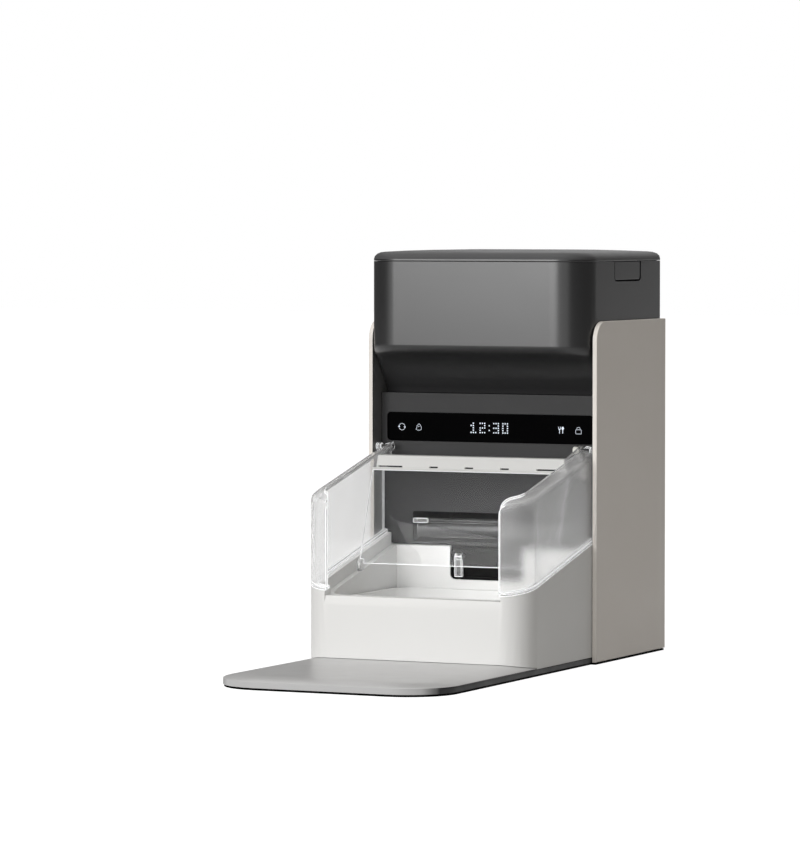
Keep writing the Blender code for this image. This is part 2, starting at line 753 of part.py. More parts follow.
def make_bowl_housing():
    """White tray: sloped side walls, a lower rim, the trough and its back wall."""
    outline = rounded((-BODY_HALF, BODY_HALF), (TRAY_FRONT_Y, TRAY_BACK_Y),
                      (TRAY_CORNER_RADIUS, TRAY_CORNER_RADIUS, 0, 0), steps=6)
    top = slope_z(TRAY_WALL_TOP, TRAY_BACK_Y) + CUT_OVERRUN
    tray = plan_prism("bowl_housing", outline, TRAY_BOTTOM, top, white())
    front = TRAY_FRONT_Y - CUT_OVERRUN
    back = TRAY_BACK_Y + CUT_OVERRUN
    above = top + CUT_OVERRUN
    wall_cut = side_prism("tray_wall_slope", [
        (front, slope_z(TRAY_WALL_TOP, front)), (back, slope_z(TRAY_WALL_TOP, back)),
        (back, above), (front, above)], -PANEL_SPAN, PANEL_SPAN, cutter=True)
    flat_end = PANEL_FRONT_Y - (RIM_TOP - RIM_FRONT_HEIGHT) / TRAY_SLOPE
    rim_front = TRAY_FRONT_Y + TRAY_WALL_WIDTH
    rim_back = FASCIA_Y - FIT_GAP
    rim_end = rim_back + CUT_OVERRUN
    rim_low = RIM_FRONT_HEIGHT - CUT_OVERRUN
    inner_radius = TRAY_CORNER_RADIUS - TRAY_WALL_WIDTH
    rim_cut = plan_prism("tray_rim_space", rounded(
        (-TRAY_LEDGE_X, TRAY_LEDGE_X), (rim_front, rim_end),
        (inner_radius, inner_radius, 0, 0), steps=5), RIM_FRONT_HEIGHT, above, cutter=True)
    under_rim = side_prism("tray_rim_slope", [
        (flat_end, RIM_FRONT_HEIGHT), (flat_end, rim_low), (rim_end + CUT_OVERRUN, rim_low),
        (rim_end + CUT_OVERRUN, slope_z(RIM_TOP, rim_end + CUT_OVERRUN))],
        -PANEL_SPAN, PANEL_SPAN, cutter=True)
    cut(rim_cut, under_rim)
    mouth = block("tray_mouth", (-LIP_NOTCH_HALF, LIP_NOTCH_HALF),
                  (front, rim_front + CUT_OVERRUN), (RIM_FRONT_HEIGHT, above), cutter=True)
    notch = side_prism("tray_lip_notch", [
        (front, RIM_FRONT_HEIGHT - LIP_NOTCH_HEIGHT),
        (TRAY_FRONT_Y, RIM_FRONT_HEIGHT - LIP_NOTCH_HEIGHT),
        (TRAY_FRONT_Y + LIP_NOTCH_DEPTH, RIM_FRONT_HEIGHT + FIT_GAP),
        (front, RIM_FRONT_HEIGHT + FIT_GAP)], -LIP_NOTCH_HALF, LIP_NOTCH_HALF, cutter=True)
    trough_outline = rounded((-TROUGH_HALF, TROUGH_HALF), (TROUGH_FRONT_Y, FASCIA_Y),
                             (TROUGH_CORNER_RADIUS, TROUGH_CORNER_RADIUS, 0, 0), steps=5)
    trough = plan_prism("tray_trough", trough_outline, TROUGH_FLOOR, above, cutter=True)
    back_top = block("tray_back_top", (-PANEL_SPAN, PANEL_SPAN),
                     (rim_back, back), (BACK_WALL_TOP, above), cutter=True)
    window = face_prism("tray_back_window", rounded(
        (POCKET_OFFSET - POCKET_HALF - FIT_GAP, POCKET_OFFSET + POCKET_HALF + FIT_GAP),
        (POCKET_BOTTOM - FIT_GAP, above),
        (POCKET_CORNER_RADIUS, POCKET_CORNER_RADIUS, 0, 0)),
        FASCIA_Y - CUT_OVERRUN, back, cutter=True)
    seat = loft("tray_platform_space", platform_sections(-CUT_OVERRUN, FIT_GAP), cutter=True)
    floor_under = block("tray_underside", (-TROUGH_HALF, TROUGH_HALF),
                        (PLATFORM_BACK_Y + TRAY_WALL, FASCIA_Y - TRAY_WALL),
                        (0, TROUGH_FLOOR - TROUGH_FLOOR_THICKNESS), cutter=True)
    hollow_top = RIM_FRONT_HEIGHT - LIP_NOTCH_HEIGHT - TRAY_WALL
    shell_gap = plan_prism("tray_hollow", rounded(
        (-BODY_HALF + TRAY_WALL, BODY_HALF - TRAY_WALL),
        (TRAY_FRONT_Y + TRAY_WALL, FASCIA_Y - TRAY_WALL),
        (TRAY_CORNER_RADIUS - TRAY_WALL, TRAY_CORNER_RADIUS - TRAY_WALL, 0, 0), steps=5),
        0, hollow_top, cutter=True)
    core = plan_prism("tray_hollow_core", rounded(
        (-TROUGH_HALF - TROUGH_WALL, TROUGH_HALF + TROUGH_WALL),
        (TROUGH_FRONT_Y - TROUGH_WALL, BACK_Y),
        (TROUGH_CORNER_RADIUS, TROUGH_CORNER_RADIUS, 0, 0), steps=5),
        -CUT_OVERRUN, above, cutter=True)
    cut(shell_gap, core)
    return smooth(cut(tray, wall_cut, rim_cut, mouth, notch, trough, back_top, window, seat,
                      floor_under, shell_gap), 30)


def make_food_bowl():
    """Lift-out bowl with a thin flange round its rim."""
    side = TROUGH_HALF - BOWL_CLEARANCE
    front = TROUGH_FRONT_Y + BOWL_CLEARANCE
    back = FASCIA_Y - BOWL_CLEARANCE
    radius = BOWL_CORNER_RADIUS
    top = BOWL_RIM_HEIGHT
    bottom = TROUGH_FLOOR + FIT_GAP

    def ring(inset, z):
        corner = radius - min(inset, radius / 2)
        outline = rounded((-side + inset, side - inset), (front + inset, back - inset),
                          (corner,) * 4, steps=4)
        return [(x, y, z) for x, y in outline]

    flange = BOWL_FLANGE
    draft = flange + BOWL_DRAFT
    sections = [
        ring(draft, bottom), ring(flange, top - BOWL_WALL), ring(0, top - BOWL_WALL), ring(0, top),
        ring(flange + BOWL_WALL, top), ring(draft + BOWL_WALL, bottom + BOWL_WALL)]
    bowl = loft("food_bowl", sections, white())
    pivot = joint_empty("bowl_lift_axis", (0, (front + back) / 2, bottom))
    set_origin(bowl, (0, (front + back) / 2, bottom))
    hang(pivot, bowl)
    return smooth(bowl, 40)


# Guards


def guard_section(reach, drop):
    """Cross-section of a guard as (distance inwards, height over its foot).

    The turned-in top is one curve, cut off at the reach.
    """
    height = GUARD_TOP - TRAY_WALL_TOP - FIT_GAP - drop
    wall = GUARD_WALL

    def top_at(inwards):
        share = inwards / GUARD_FLANGE
        pairs = zip(GUARD_CURVE_SHARES, GUARD_CURVE_SHARES[1:])
        for (low, low_down), (high, high_down) in pairs:
            if share <= high:
                down = low_down + (high_down - low_down) * (share - low) / (high - low)
                return height - GUARD_FLANGE_RISE * down
        return height

    outer = [(reach * share, top_at(reach * share)) for share, down in GUARD_CURVE_SHARES]
    inner = []
    for share in GUARD_INNER_SHARES:
        inwards = wall + (reach - wall) * share
        inner.append((inwards, top_at(inwards) - wall))
    bend = top_at(wall) - wall - GUARD_FLANGE_RISE / 2
    foot = [(wall, bend), (wall, GUARD_FOOT_HEIGHT), (GUARD_FOOT_WIDTH, GUARD_FOOT_HEIGHT),
            (GUARD_FOOT_WIDTH, 0)]
    return [(0, 0)] + outer + inner + foot


def make_guard(name, side):
    """Clear wall along a tray side and round its front corner, with a turned-in top."""
    radius = TRAY_CORNER_RADIUS
    centre = (BODY_HALF - radius, TRAY_FRONT_Y + radius)
    rear = FASCIA_Y - FIT_GAP
    full = GUARD_FLANGE
    stations = [((BODY_HALF, rear), (1, 0), full, 0), ((BODY_HALF, centre[1]), (1, 0), full, 0)]
    last = math.degrees(math.acos((GUARD_FRONT_HALF - centre[0]) / radius))
    for share, narrowing, drop_share in GUARD_CORNER_SHARES:
        angle = -math.radians(last * share)
        normal = (math.cos(angle), math.sin(angle))
        place = (centre[0] + radius * normal[0], centre[1] + radius * normal[1])
        reach = full - (full - GUARD_END_FLANGE) * narrowing
        stations.append((place, normal, reach, GUARD_FRONT_DROP * drop_share))
    sections = []
    for place, normal, reach, drop in stations:
        ring = []
        for inwards, height in guard_section(reach, drop):
            x = place[0] - normal[0] * inwards
            y = place[1] - normal[1] * inwards
            ring.append((side * x, y, slope_z(TRAY_WALL_TOP + FIT_GAP, y) + height))
        sections.append(ring if side > 0 else ring[::-1])
    guard = loft(name, sections, frosted())
    boss = cylinder_x(name + "_boss", (PIVOT_Y, PIVOT_HEIGHT), GUARD_BOSS_RADIUS,
                      side * (BODY_HALF - GUARD_WALL - GUARD_BOSS_LENGTH),
                      side * (BODY_HALF - FIT_GAP), sides=12, cutter=True)
    bore = cylinder_x(name + "_bore", (PIVOT_Y, PIVOT_HEIGHT), GUARD_BOSS_BORE,
                      side * FLAP_HALF, side * (BODY_HALF - GUARD_WALL / 2), sides=12, cutter=True)
    return smooth(cut(join(guard, boss), bore), 30)


# Flap


def make_flap_beam():
    """White cross beam: a leaning web with a front lip and a top return."""
    lip_top = BEAM_BOTTOM + BEAM_LIP
    web_foot = BEAM_Y - BEAM_LEAN
    lip_front = BEAM_Y - BEAM_LEDGE
    outline = [
        (lip_front, BEAM_BOTTOM), (web_foot + BEAM_WALL, BEAM_BOTTOM),
        (BEAM_Y + BEAM_WALL, BEAM_TOP - BEAM_WALL), (BEAM_Y + BEAM_RETURN, BEAM_TOP - BEAM_WALL),
        (BEAM_Y + BEAM_RETURN, BEAM_TOP), (BEAM_Y, BEAM_TOP), (web_foot, lip_top),
        (lip_front, lip_top)]
    half = FLAP_HALF - ARM_THICKNESS - FIT_GAP
    beam = side_prism("flap_beam", outline, -half, half, white())
    strip = block("beam_strip", (-FLAP_HALF, FLAP_HALF), (lip_front, lip_front + BEAM_STRIP),
                  (BEAM_BOTTOM, lip_top), cutter=True)
    join(beam, strip)
    low = lip_top + BEAM_SLOT_RISE
    places = [(0, BEAM_SLOT_SHORT)]
    for side in (-1, 1):
        places.append((side * BEAM_SLOT_PITCH, BEAM_SLOT_SHORT))
        places.append((side * BEAM_SLOT_END, BEAM_SLOT_LONG))
    for number, (middle, length) in enumerate(places):
        slot = block(f"beam_slot_{number}", (middle - length / 2, middle + length / 2),
                     (web_foot - CUT_OVERRUN, BEAM_Y + BEAM_WALL + CUT_OVERRUN),
                     (low, low + BEAM_SLOT_HEIGHT), cutter=True)
        cut(beam, slot)
    return beam


def flap_panel_places():
    top = BEAM_BOTTOM - FIT_GAP
    front_top = BEAM_Y - BEAM_LEDGE + FLAP_PANEL_SETBACK
    front_bottom = front_top - FLAP_PANEL_LEAN
    return top, front_top, front_bottom


def make_flap_panel():
    """Clear sheet that hangs from the beam and leans forward to the tray's rim."""
    top, front_top, front_bottom = flap_panel_places()
    height = top - FLAP_PANEL_BOTTOM
    notch = FLAP_HALF - FLAP_NOTCH
    step = FLAP_PANEL_BOTTOM + FLAP_NOTCH
    outline = [(-notch, FLAP_PANEL_BOTTOM), (notch, FLAP_PANEL_BOTTOM), (notch, step),
               (FLAP_HALF, step), (FLAP_HALF, top), (-FLAP_HALF, top), (-FLAP_HALF, step),
               (-notch, step)]
    sheet = face_prism("flap_panel", outline, front_top, front_top + FLAP_PANEL_THICKNESS, clear())
    for vertex in sheet.data.vertices:
        vertex.co.y -= FLAP_PANEL_LEAN * (top - vertex.co.z) / height
    return smooth(sheet)


def make_bumper(name, side):
    """Soft foot under the flap's corner, resting just over the rim."""
    front_bottom = flap_panel_places()[2]
    middle = front_bottom + FLAP_PANEL_THICKNESS / 2
    half = BUMPER_LENGTH / 2
    low_front = slope_z(RIM_TOP, middle - half) + FIT_GAP
    low_back = slope_z(RIM_TOP, middle + half) + FIT_GAP
    high = FLAP_PANEL_BOTTOM + FLAP_NOTCH - FIT_GAP
    outline = [(middle - half, low_front), (middle + half, low_back), (middle + half, high),
               (middle - half, high)]
    inner = side * (FLAP_HALF - FLAP_NOTCH + FIT_GAP)
    outer = side * (FLAP_HALF + BUMPER_OVERHANG)
    return side_prism(name, outline, inner, outer, silicone())


def make_arm(name, side):
    """Clear end plate of the beam, which reaches back to the hinge."""
    radius = ARM_KNUCKLE
    front = BEAM_Y - BEAM_LEDGE + BEAM_STRIP + FIT_GAP
    waist = BEAM_BOTTOM + ARM_WAIST_RISE
    outline = [(front, BEAM_BOTTOM), (PIVOT_Y - ARM_HEEL, BEAM_BOTTOM),
               (PIVOT_Y - ARM_WAIST - FIT_GAP, BEAM_BOTTOM + radius), (PIVOT_Y - ARM_WAIST, waist)]
    outline += arc_points((PIVOT_Y, PIVOT_HEIGHT), radius, ARM_ROUND_START,
                          ARM_ROUND_END, 8)
    outline += [(BEAM_Y + FIT_GAP, BEAM_TOP), (front, BEAM_BOTTOM + BEAM_LIP)]
    arm = side_prism(name, outline, side * (FLAP_HALF - ARM_THICKNESS), side * FLAP_HALF, clear())
    bore = cylinder_x(name + "_bore", (PIVOT_Y, PIVOT_HEIGHT), PIN_RADIUS + FIT_GAP,
                      side * (FLAP_HALF - ARM_THICKNESS - CUT_OVERRUN),
                      side * (FLAP_HALF + CUT_OVERRUN), sides=12, cutter=True)
    return cut(arm, bore)


def gear_span():
    outer = FLAP_HALF - ARM_THICKNESS - FIT_GAP
    return outer - FLAP_GEAR_WIDTH, outer


def make_pin(name, side, inner):
    return cylinder_x(name, (PIVOT_Y, PIVOT_HEIGHT), PIN_RADIUS, side * inner,
                      side * (BODY_HALF - GUARD_WALL), sides=12, mat=dark())


def make_flap_gear():
    """Toothed sector on the right arm, which turns the flap."""
    left, right = gear_span()
    phase = FLAP_DRIVE_ANGLE
    teeth = gear_outline(FLAP_GEAR_MODULE, FLAP_GEAR_TEETH, phase, FLAP_SECTOR_LOW, FLAP_SECTOR_HIGH)
    hub = FLAP_GEAR_HUB
    first, last = teeth[0][0], teeth[-1][0]
    ends = [(last, hub)] + [(last + (2 * math.pi - (last - first)) * step / 8, hub)
                            for step in range(1, 8)] + [(first, hub)]
    outline = polar_outline((PIVOT_Y, PIVOT_HEIGHT), teeth + ends)
    gear = side_prism("flap_gear", outline, left, right, gear_white())
    bore = cylinder_x("flap_gear_bore", (PIVOT_Y, PIVOT_HEIGHT), PIN_RADIUS + FIT_GAP,
                      left - CUT_OVERRUN, right + CUT_OVERRUN, sides=12, cutter=True)
    return cut(gear, bore)


def flap_pinion_centre():
    distance = FLAP_GEAR_MODULE * (FLAP_GEAR_TEETH + FLAP_PINION_TEETH) / 2
    return (PIVOT_Y + distance * math.cos(FLAP_DRIVE_ANGLE),
            PIVOT_HEIGHT + distance * math.sin(FLAP_DRIVE_ANGLE))


def make_flap_pinion():
    left, right = gear_span()
    centre = flap_pinion_centre()
    phase = FLAP_DRIVE_ANGLE + math.pi + math.pi / FLAP_PINION_TEETH
    outline = polar_outline(centre, gear_outline(FLAP_GEAR_MODULE, FLAP_PINION_TEETH, phase))
    pinion = side_prism("flap_pinion", outline, left, right, gear_white())
    bore = cylinder_x("flap_pinion_bore", centre, MOTOR_SHAFT_RADIUS + FIT_GAP,
                      left - CUT_OVERRUN, right + CUT_OVERRUN, sides=12, cutter=True)
    cut(pinion, bore)
    axis = joint_empty("flap_pinion_axis", ((left + right) / 2, *centre))
    set_origin(pinion, ((left + right) / 2, *centre))
    hang(axis, pinion)
    return pinion


def make_flap_motor():
    """Small gear motor behind the fascia, with its output shaft."""
    left, right = gear_span()
    y, z = flap_pinion_centre()
    face = left - ROTOR_GEAR_OFFSET
    front = FRAME_FRONT_Y
    case = block("flap_motor", (face - FLAP_MOTOR_LENGTH, face), (front, front + FLAP_MOTOR_DEPTH),
                 (z - FLAP_MOTOR_HEIGHT / 2, z + FLAP_MOTOR_HEIGHT / 2), steel())
    shaft = cylinder_x("flap_motor_shaft", (y, z), MOTOR_SHAFT_RADIUS, face - CUT_OVERRUN, right,
                       sides=12, cutter=True)
    return join(case, shaft)


def make_flap():
    left_pin = FLAP_HALF - ARM_THICKNESS
    right_pin = gear_span()[0]
    pieces = [
        make_flap_beam(), make_flap_panel(), make_flap_gear(),
        make_bumper("flap_bumper_left", -1), make_bumper("flap_bumper_right", 1),
        make_arm("flap_arm_left", -1), make_arm("flap_arm_right", 1),
        make_pin("flap_pin_left", -1, left_pin), make_pin("flap_pin_right", 1, right_pin)]
    axis = joint_empty("flap_axis", (0, PIVOT_Y, PIVOT_HEIGHT))
    for piece in pieces:
        set_origin(piece, (0, 0, 0))
    hang(axis, *pieces)


# Side panels


def make_side_panel(name, side):
    outline = rounded((PANEL_FRONT_Y, BACK_Y), (BASE_BOTTOM, PANEL_HEIGHT),
                      (0, 0, 0, PANEL_CORNER_RADIUS), steps=6)
    outer = side * PANEL_SPAN / 2
    panel = side_prism(name, outline, side * PANEL_INNER_X, outer, taupe())
    bevel_edges(panel, lambda p: abs(p.x - outer) < FIT_GAP, PANEL_EDGE_ROUND, 2)
    return smooth(panel, 30)


# Fascia and display


def display_outline(inset):
    radius = DISPLAY_CORNER_RADIUS
    return rounded((-DISPLAY_HALF + inset, DISPLAY_HALF - inset),
                   (DISPLAY_BOTTOM + inset, DISPLAY_TOP - inset), (radius,) * 4, steps=3)


def drive_slot_span():
    left, right = gear_span()
    return left - DRIVE_SLOT_MARGIN, right + DRIVE_SLOT_MARGIN


def make_fascia():
    """Dark front panel over the trough: display recess, food outlet, drive slot."""
    low = BACK_WALL_TOP + FIT_GAP
    fascia = face_prism("fascia_panel", rectangle((-BODY_HALF + FIT_GAP, BODY_HALF - FIT_GAP),
                                                  (low, FASCIA_TOP)),
                        FASCIA_Y, FASCIA_BACK_Y, charcoal())
    front = FASCIA_Y - CUT_OVERRUN
    back = FASCIA_BACK_Y + CUT_OVERRUN
    recess = face_prism("display_recess", display_outline(0), front,
                        FASCIA_Y + DISPLAY_GLASS + FIT_GAP, cutter=True)
    opening = face_prism("display_opening", display_outline(DISPLAY_LIP), front, back, cutter=True)
    outlet = face_prism("outlet_opening", rounded(
        (-OUTLET_HALF, OUTLET_HALF), (OUTLET_BOTTOM, OUTLET_TOP),
        (DISPLAY_CORNER_RADIUS / 2,) * 4, steps=2), front, back, cutter=True)
    slot = block("drive_slot", drive_slot_span(), (front, back),
                 (DRIVE_SLOT_BOTTOM, DRIVE_SLOT_TOP), cutter=True)
    return cut(fascia, recess, opening, outlet, slot)


def make_display():
    window = face_prism("display_window", display_outline(FIT_GAP), FASCIA_Y,
                        FASCIA_Y + DISPLAY_GLASS, glossy_black())
    inset = DISPLAY_LIP
    edge = drive_slot_span()[0] - DRIVE_SLOT_MARGIN
    board = block("display_board", (-edge, edge),
                  (FRAME_FRONT_Y, FRAME_FRONT_Y + BOARD_THICKNESS),
                  (DISPLAY_BOTTOM + inset, DISPLAY_TOP - inset), green_board())
    return window, board


# Hopper shell


def hopper_outline(inset=0.0, back_inset=None):
    back_inset = inset if back_inset is None else back_inset
    side = BODY_HALF - inset
    front = max(HOPPER_CORNER_RADIUS - inset, HOPPER_BACK_RADIUS)
    back = max(HOPPER_BACK_RADIUS - back_inset, FIT_GAP)
    return rounded((-side, side), (HOPPER_FRONT_Y + inset, BODY_BACK_Y - back_inset),
                   (front, front, back, back), steps=6)


def hopper_ring(z, inset, back_inset=None):
    return [(x, y, z) for x, y in hopper_outline(inset, back_inset)]


def latch_outline(inset, top_inset=0):
    """YZ outline of the press tab at the hopper's side, round at its lower corners."""
    radius = LATCH_CORNER_RADIUS - inset
    return rounded((LATCH_START + inset, LATCH_START + LATCH_WIDTH - inset),
                   (HOPPER_SEAM - LATCH_HEIGHT + inset, HOPPER_SEAM - top_inset),
                   (radius, radius, 0, 0), steps=3)


def shell_sections(inset, lift, low, high):
    """Rings from the neck's foot to the seam: the front swells out from the neck."""
    drop = HOPPER_FRONT_LOW - NECK_BOTTOM
    rings = []
    for rise, setback, roundness in NECK_SHAPE_SHARES:
        z = NECK_BOTTOM + drop * rise + (lift if rise else low)
        front = HOPPER_FRONT_Y + (NECK_Y - HOPPER_FRONT_Y) * setback + inset
        radius = max(HOPPER_CORNER_RADIUS * roundness - inset, FIT_GAP)
        back = max(HOPPER_BACK_RADIUS - inset, FIT_GAP)
        side = BODY_HALF - inset
        outline = rounded((-side, side), (front, BODY_BACK_Y - inset),
                          (radius, radius, back, back), steps=6)
        rings.append([(x, y, z) for x, y in outline])
    rings.append([(x, y, HOPPER_SEAM + high) for x, y, z in rings[-1]])
    return rings


def make_upper_housing():
    """Hopper shell whose front sweeps back into the neck over the fascia."""
    shell = loft("upper_housing", shell_sections(0, 0, 0, 0), charcoal())
    inside = loft("hopper_inside", shell_sections(HOPPER_WALL, NECK_WALL_LIFT, -CUT_OVERRUN,
                                                  CUT_OVERRUN), cutter=True)
    cut(shell, inside)
    for number, side in enumerate((-1, 1)):
        space = side_prism(f"latch_space_{number}", [
            (y, z + CUT_OVERRUN if z > HOPPER_SEAM - FIT_GAP else z)
            for y, z in latch_outline(0)],
            side * (BODY_HALF - HOPPER_WALL - CUT_OVERRUN), side * (BODY_HALF + CUT_OVERRUN),
            cutter=True)
        cut(shell, space)
    return smooth(shell, 30)


def make_lid_latch(name, side):
    outer = BODY_HALF - LATCH_RECESS
    tab = side_prism(name, latch_outline(LATCH_GROOVE, FIT_GAP), side * (outer - LATCH_THICKNESS),
                     side * outer, charcoal())
    place = (side * outer, LATCH_START + LATCH_WIDTH / 2, HOPPER_SEAM - LATCH_HEIGHT / 2)
    axis = joint_empty(name + "_axis", place)
    set_origin(tab, place)
    hang(axis, tab)
    return smooth(tab, 30)


def make_food_hopper():
    """Food tub: straight upper walls, then a funnel to the dispenser's inlet."""
    front = HOPPER_FRONT_Y + HOPPER_WALL + TUB_FLANGE
    back = BODY_BACK_Y - HOPPER_WALL - TUB_FLANGE
    radius = HOPPER_CORNER_RADIUS - HOPPER_WALL - TUB_FLANGE
    outlet_low = DRUM_INLET_TOP + FIT_GAP

    def ring(x_half, y_low, y_high, corner, z):
        outline = rounded((-x_half, x_half), (y_low, y_high), (corner,) * 4, steps=4)
        return [(x, y, z) for x, y in outline]

    def tub_ring(inset, z):
        return ring(TUB_HALF - inset, front + inset, back - inset, radius - inset, z)

    def outlet_ring(inset, z):
        x_half = DRUM_HALF - inset
        half = DRUM_INLET_HALF + TUB_WALL - inset
        return ring(x_half, DRUM_Y - half, DRUM_Y + half, TUB_WALL * 2 - inset, z)

    sections = [
        outlet_ring(0, outlet_low), outlet_ring(0, outlet_low + TUB_WALL * 2),
        tub_ring(0, TUB_FUNNEL_TOP), tub_ring(0, TUB_TOP), tub_ring(TUB_WALL, TUB_TOP),
        tub_ring(TUB_WALL, TUB_FUNNEL_TOP), outlet_ring(TUB_WALL, outlet_low + TUB_WALL * 2),
        outlet_ring(TUB_WALL, outlet_low)]
    bm = bmesh.new()
    rings = [[bm.verts.new(point) for point in section] for section in sections]
    count = len(rings[0])
    for first, second in zip(rings, rings[1:] + rings[:1]):
        for index in range(count):
            after = (index + 1) % count
            bm.faces.new((first[index], first[after], second[after], second[index]))
    return smooth(object_from(bm, "food_hopper", dark()), 30)


# Lid


def lid_skirt_outline(inset):
    gap = HOPPER_WALL + LID_SKIRT_GAP + inset
    side = TUB_HALF - TUB_WALL - LID_SKIRT_GAP - inset
    front = HOPPER_FRONT_Y + gap + TUB_FLANGE + TUB_WALL
    back = BODY_BACK_Y - gap - TUB_FLANGE - TUB_WALL
    radius = HOPPER_CORNER_RADIUS - gap - TUB_FLANGE - TUB_WALL
    return rounded((-side, side), (front, back), (radius,) * 4, steps=4)


def make_lid():
    """Domed lid with a skirt that drops into the food tub and a rib along its back."""
    low = HOPPER_SEAM + FIT_GAP
    edge_top = TOTAL_HEIGHT - LID_DOME
    sections = [hopper_ring(low, 0)]
    for step in range(5):
        turn = math.radians(90 * step / 4)
        sections.append(hopper_ring(edge_top - LID_EDGE_ROUND * (1 - math.sin(turn)),
                                    LID_EDGE_REACH * (1 - math.cos(turn))))
    for share in LID_DOME_SHARES:
        rise = math.sin(math.pi / 2 * share)
        sections.append(hopper_ring(edge_top + LID_DOME * rise,
                                    LID_EDGE_REACH + LID_DOME_INSET * share))
    lid = loft("hopper_lid", sections, charcoal())
    skirt = plan_prism("lid_skirt", lid_skirt_outline(0), HOPPER_SEAM - LID_SKIRT_DEPTH,
                       low + LID_WALL, cutter=True)
    hollow = plan_prism("lid_inside", lid_skirt_outline(LID_SKIRT_WALL),
                        HOPPER_SEAM - LID_SKIRT_DEPTH - CUT_OVERRUN,
                        edge_top - LID_WALL - FIT_GAP, cutter=True)
    rib_back = BODY_BACK_Y - HOPPER_WALL - FIT_GAP
    rib_half = BODY_HALF - HOPPER_WALL - FIT_GAP
    rib = block("lid_back_rib", (-rib_half, rib_half), (rib_back - LID_RIB_WALL, rib_back),
                (HOPPER_SEAM - LID_RIB_DEPTH, low + FIT_GAP), cutter=True)
    cut(join(lid, skirt, rib), hollow)
    seal_low = HOPPER_SEAM - LID_SKIRT_DEPTH + FIT_GAP
    seal = plan_prism("lid_seal", lid_skirt_outline(-SEAL_WIDTH - FIT_GAP), seal_low,
                      seal_low + SEAL_HEIGHT, silicone())
    seal_hole = plan_prism("seal_hole", lid_skirt_outline(-FIT_GAP), seal_low - CUT_OVERRUN,
                           seal_low + SEAL_HEIGHT + CUT_OVERRUN, cutter=True)
    cut(seal, seal_hole)
    return smooth(lid, 40), seal


def make_desiccant():
    """Open box under the lid for a moisture pack, with a slotted cover."""
    middle = (HOPPER_FRONT_Y + BODY_BACK_Y) / 2
    top = TOTAL_HEIGHT - LID_DOME - LID_WALL - 2 * FIT_GAP
    low = top - DESICCANT_HEIGHT
    y_span = (middle - DESICCANT_DEPTH / 2, middle + DESICCANT_DEPTH / 2)
    wall = DESICCANT_WALL
    box = block("desiccant_box", (-DESICCANT_HALF, DESICCANT_HALF), y_span, (low, top), white())
    inside = block("desiccant_inside", (-DESICCANT_HALF + wall, DESICCANT_HALF - wall),
                   (y_span[0] + wall, y_span[1] - wall), (low - CUT_OVERRUN, top - wall),
                   cutter=True)
    cut(box, inside)
    cover = block("desiccant_cover", (-DESICCANT_HALF, DESICCANT_HALF), y_span,
                  (low - FIT_GAP - wall, low - FIT_GAP), white())
    count = int((DESICCANT_HALF - wall) / DESICCANT_SLOT_PITCH)
    for number in range(-count, count + 1):
        x = number * DESICCANT_SLOT_PITCH
        slot = block(f"desiccant_slot_{number + count}",
                     (x - DESICCANT_SLOT / 2, x + DESICCANT_SLOT / 2),
                     (y_span[0] + wall * 3, y_span[1] - wall * 3),
                     (low - wall - CUT_OVERRUN, low + CUT_OVERRUN), cutter=True)
        cut(cover, slot)
    return box, cover


def make_lid_group():
    lid, seal = make_lid()
    box, cover = make_desiccant()
    axis = joint_empty("lid_axis", (0, (HOPPER_FRONT_Y + BODY_BACK_Y) / 2, HOPPER_SEAM))
    hang(axis, lid, seal, box, cover)


# Dispenser


def make_drum():
    """Drum round the rotor, with a square inlet above and an outlet below."""
    centre = (DRUM_Y, DRUM_AXIS_HEIGHT)
    outer = DRUM_HALF + DRUM_WALL
    drum = cylinder_x("dispenser_drum", centre, DRUM_RADIUS + DRUM_WALL, -outer, outer, 28, dark())
    inlet_half = DRUM_INLET_HALF + TUB_WALL
    outlet_half = DRUM_OUTLET_HALF + TUB_WALL
    inlet = block("drum_inlet", (-DRUM_HALF, DRUM_HALF), (DRUM_Y - inlet_half, DRUM_Y + inlet_half),
                  (DRUM_AXIS_HEIGHT, DRUM_INLET_TOP), cutter=True)
    outlet = block("drum_outlet", (-DRUM_HALF, DRUM_HALF),
                   (DRUM_Y - outlet_half, DRUM_Y + outlet_half),
                   (DRUM_OUTLET_BOTTOM, DRUM_AXIS_HEIGHT), cutter=True)
    inside = cylinder_x("drum_inside", centre, DRUM_RADIUS, -DRUM_HALF, DRUM_HALF, 28, cutter=True)
    slot_half = DRUM_HALF - TUB_WALL
    inlet_hole = block("drum_inlet_hole", (-slot_half, slot_half),
                       (DRUM_Y - DRUM_INLET_HALF, DRUM_Y + DRUM_INLET_HALF),
                       (DRUM_AXIS_HEIGHT, DRUM_INLET_TOP + CUT_OVERRUN), cutter=True)
    outlet_hole = block("drum_outlet_hole", (-slot_half, slot_half),
                        (DRUM_Y - DRUM_OUTLET_HALF, DRUM_Y + DRUM_OUTLET_HALF),
                        (DRUM_OUTLET_BOTTOM - CUT_OVERRUN, DRUM_AXIS_HEIGHT), cutter=True)
    shaft_hole = cylinder_x("drum_shaft_hole", centre, ROTOR_SHAFT_RADIUS + FIT_GAP,
                            -outer - CUT_OVERRUN, outer + CUT_OVERRUN, 16, cutter=True)
    join(drum, inlet, outlet)
    return smooth(cut(drum, inside, inlet_hole, outlet_hole, shaft_hole), 30)


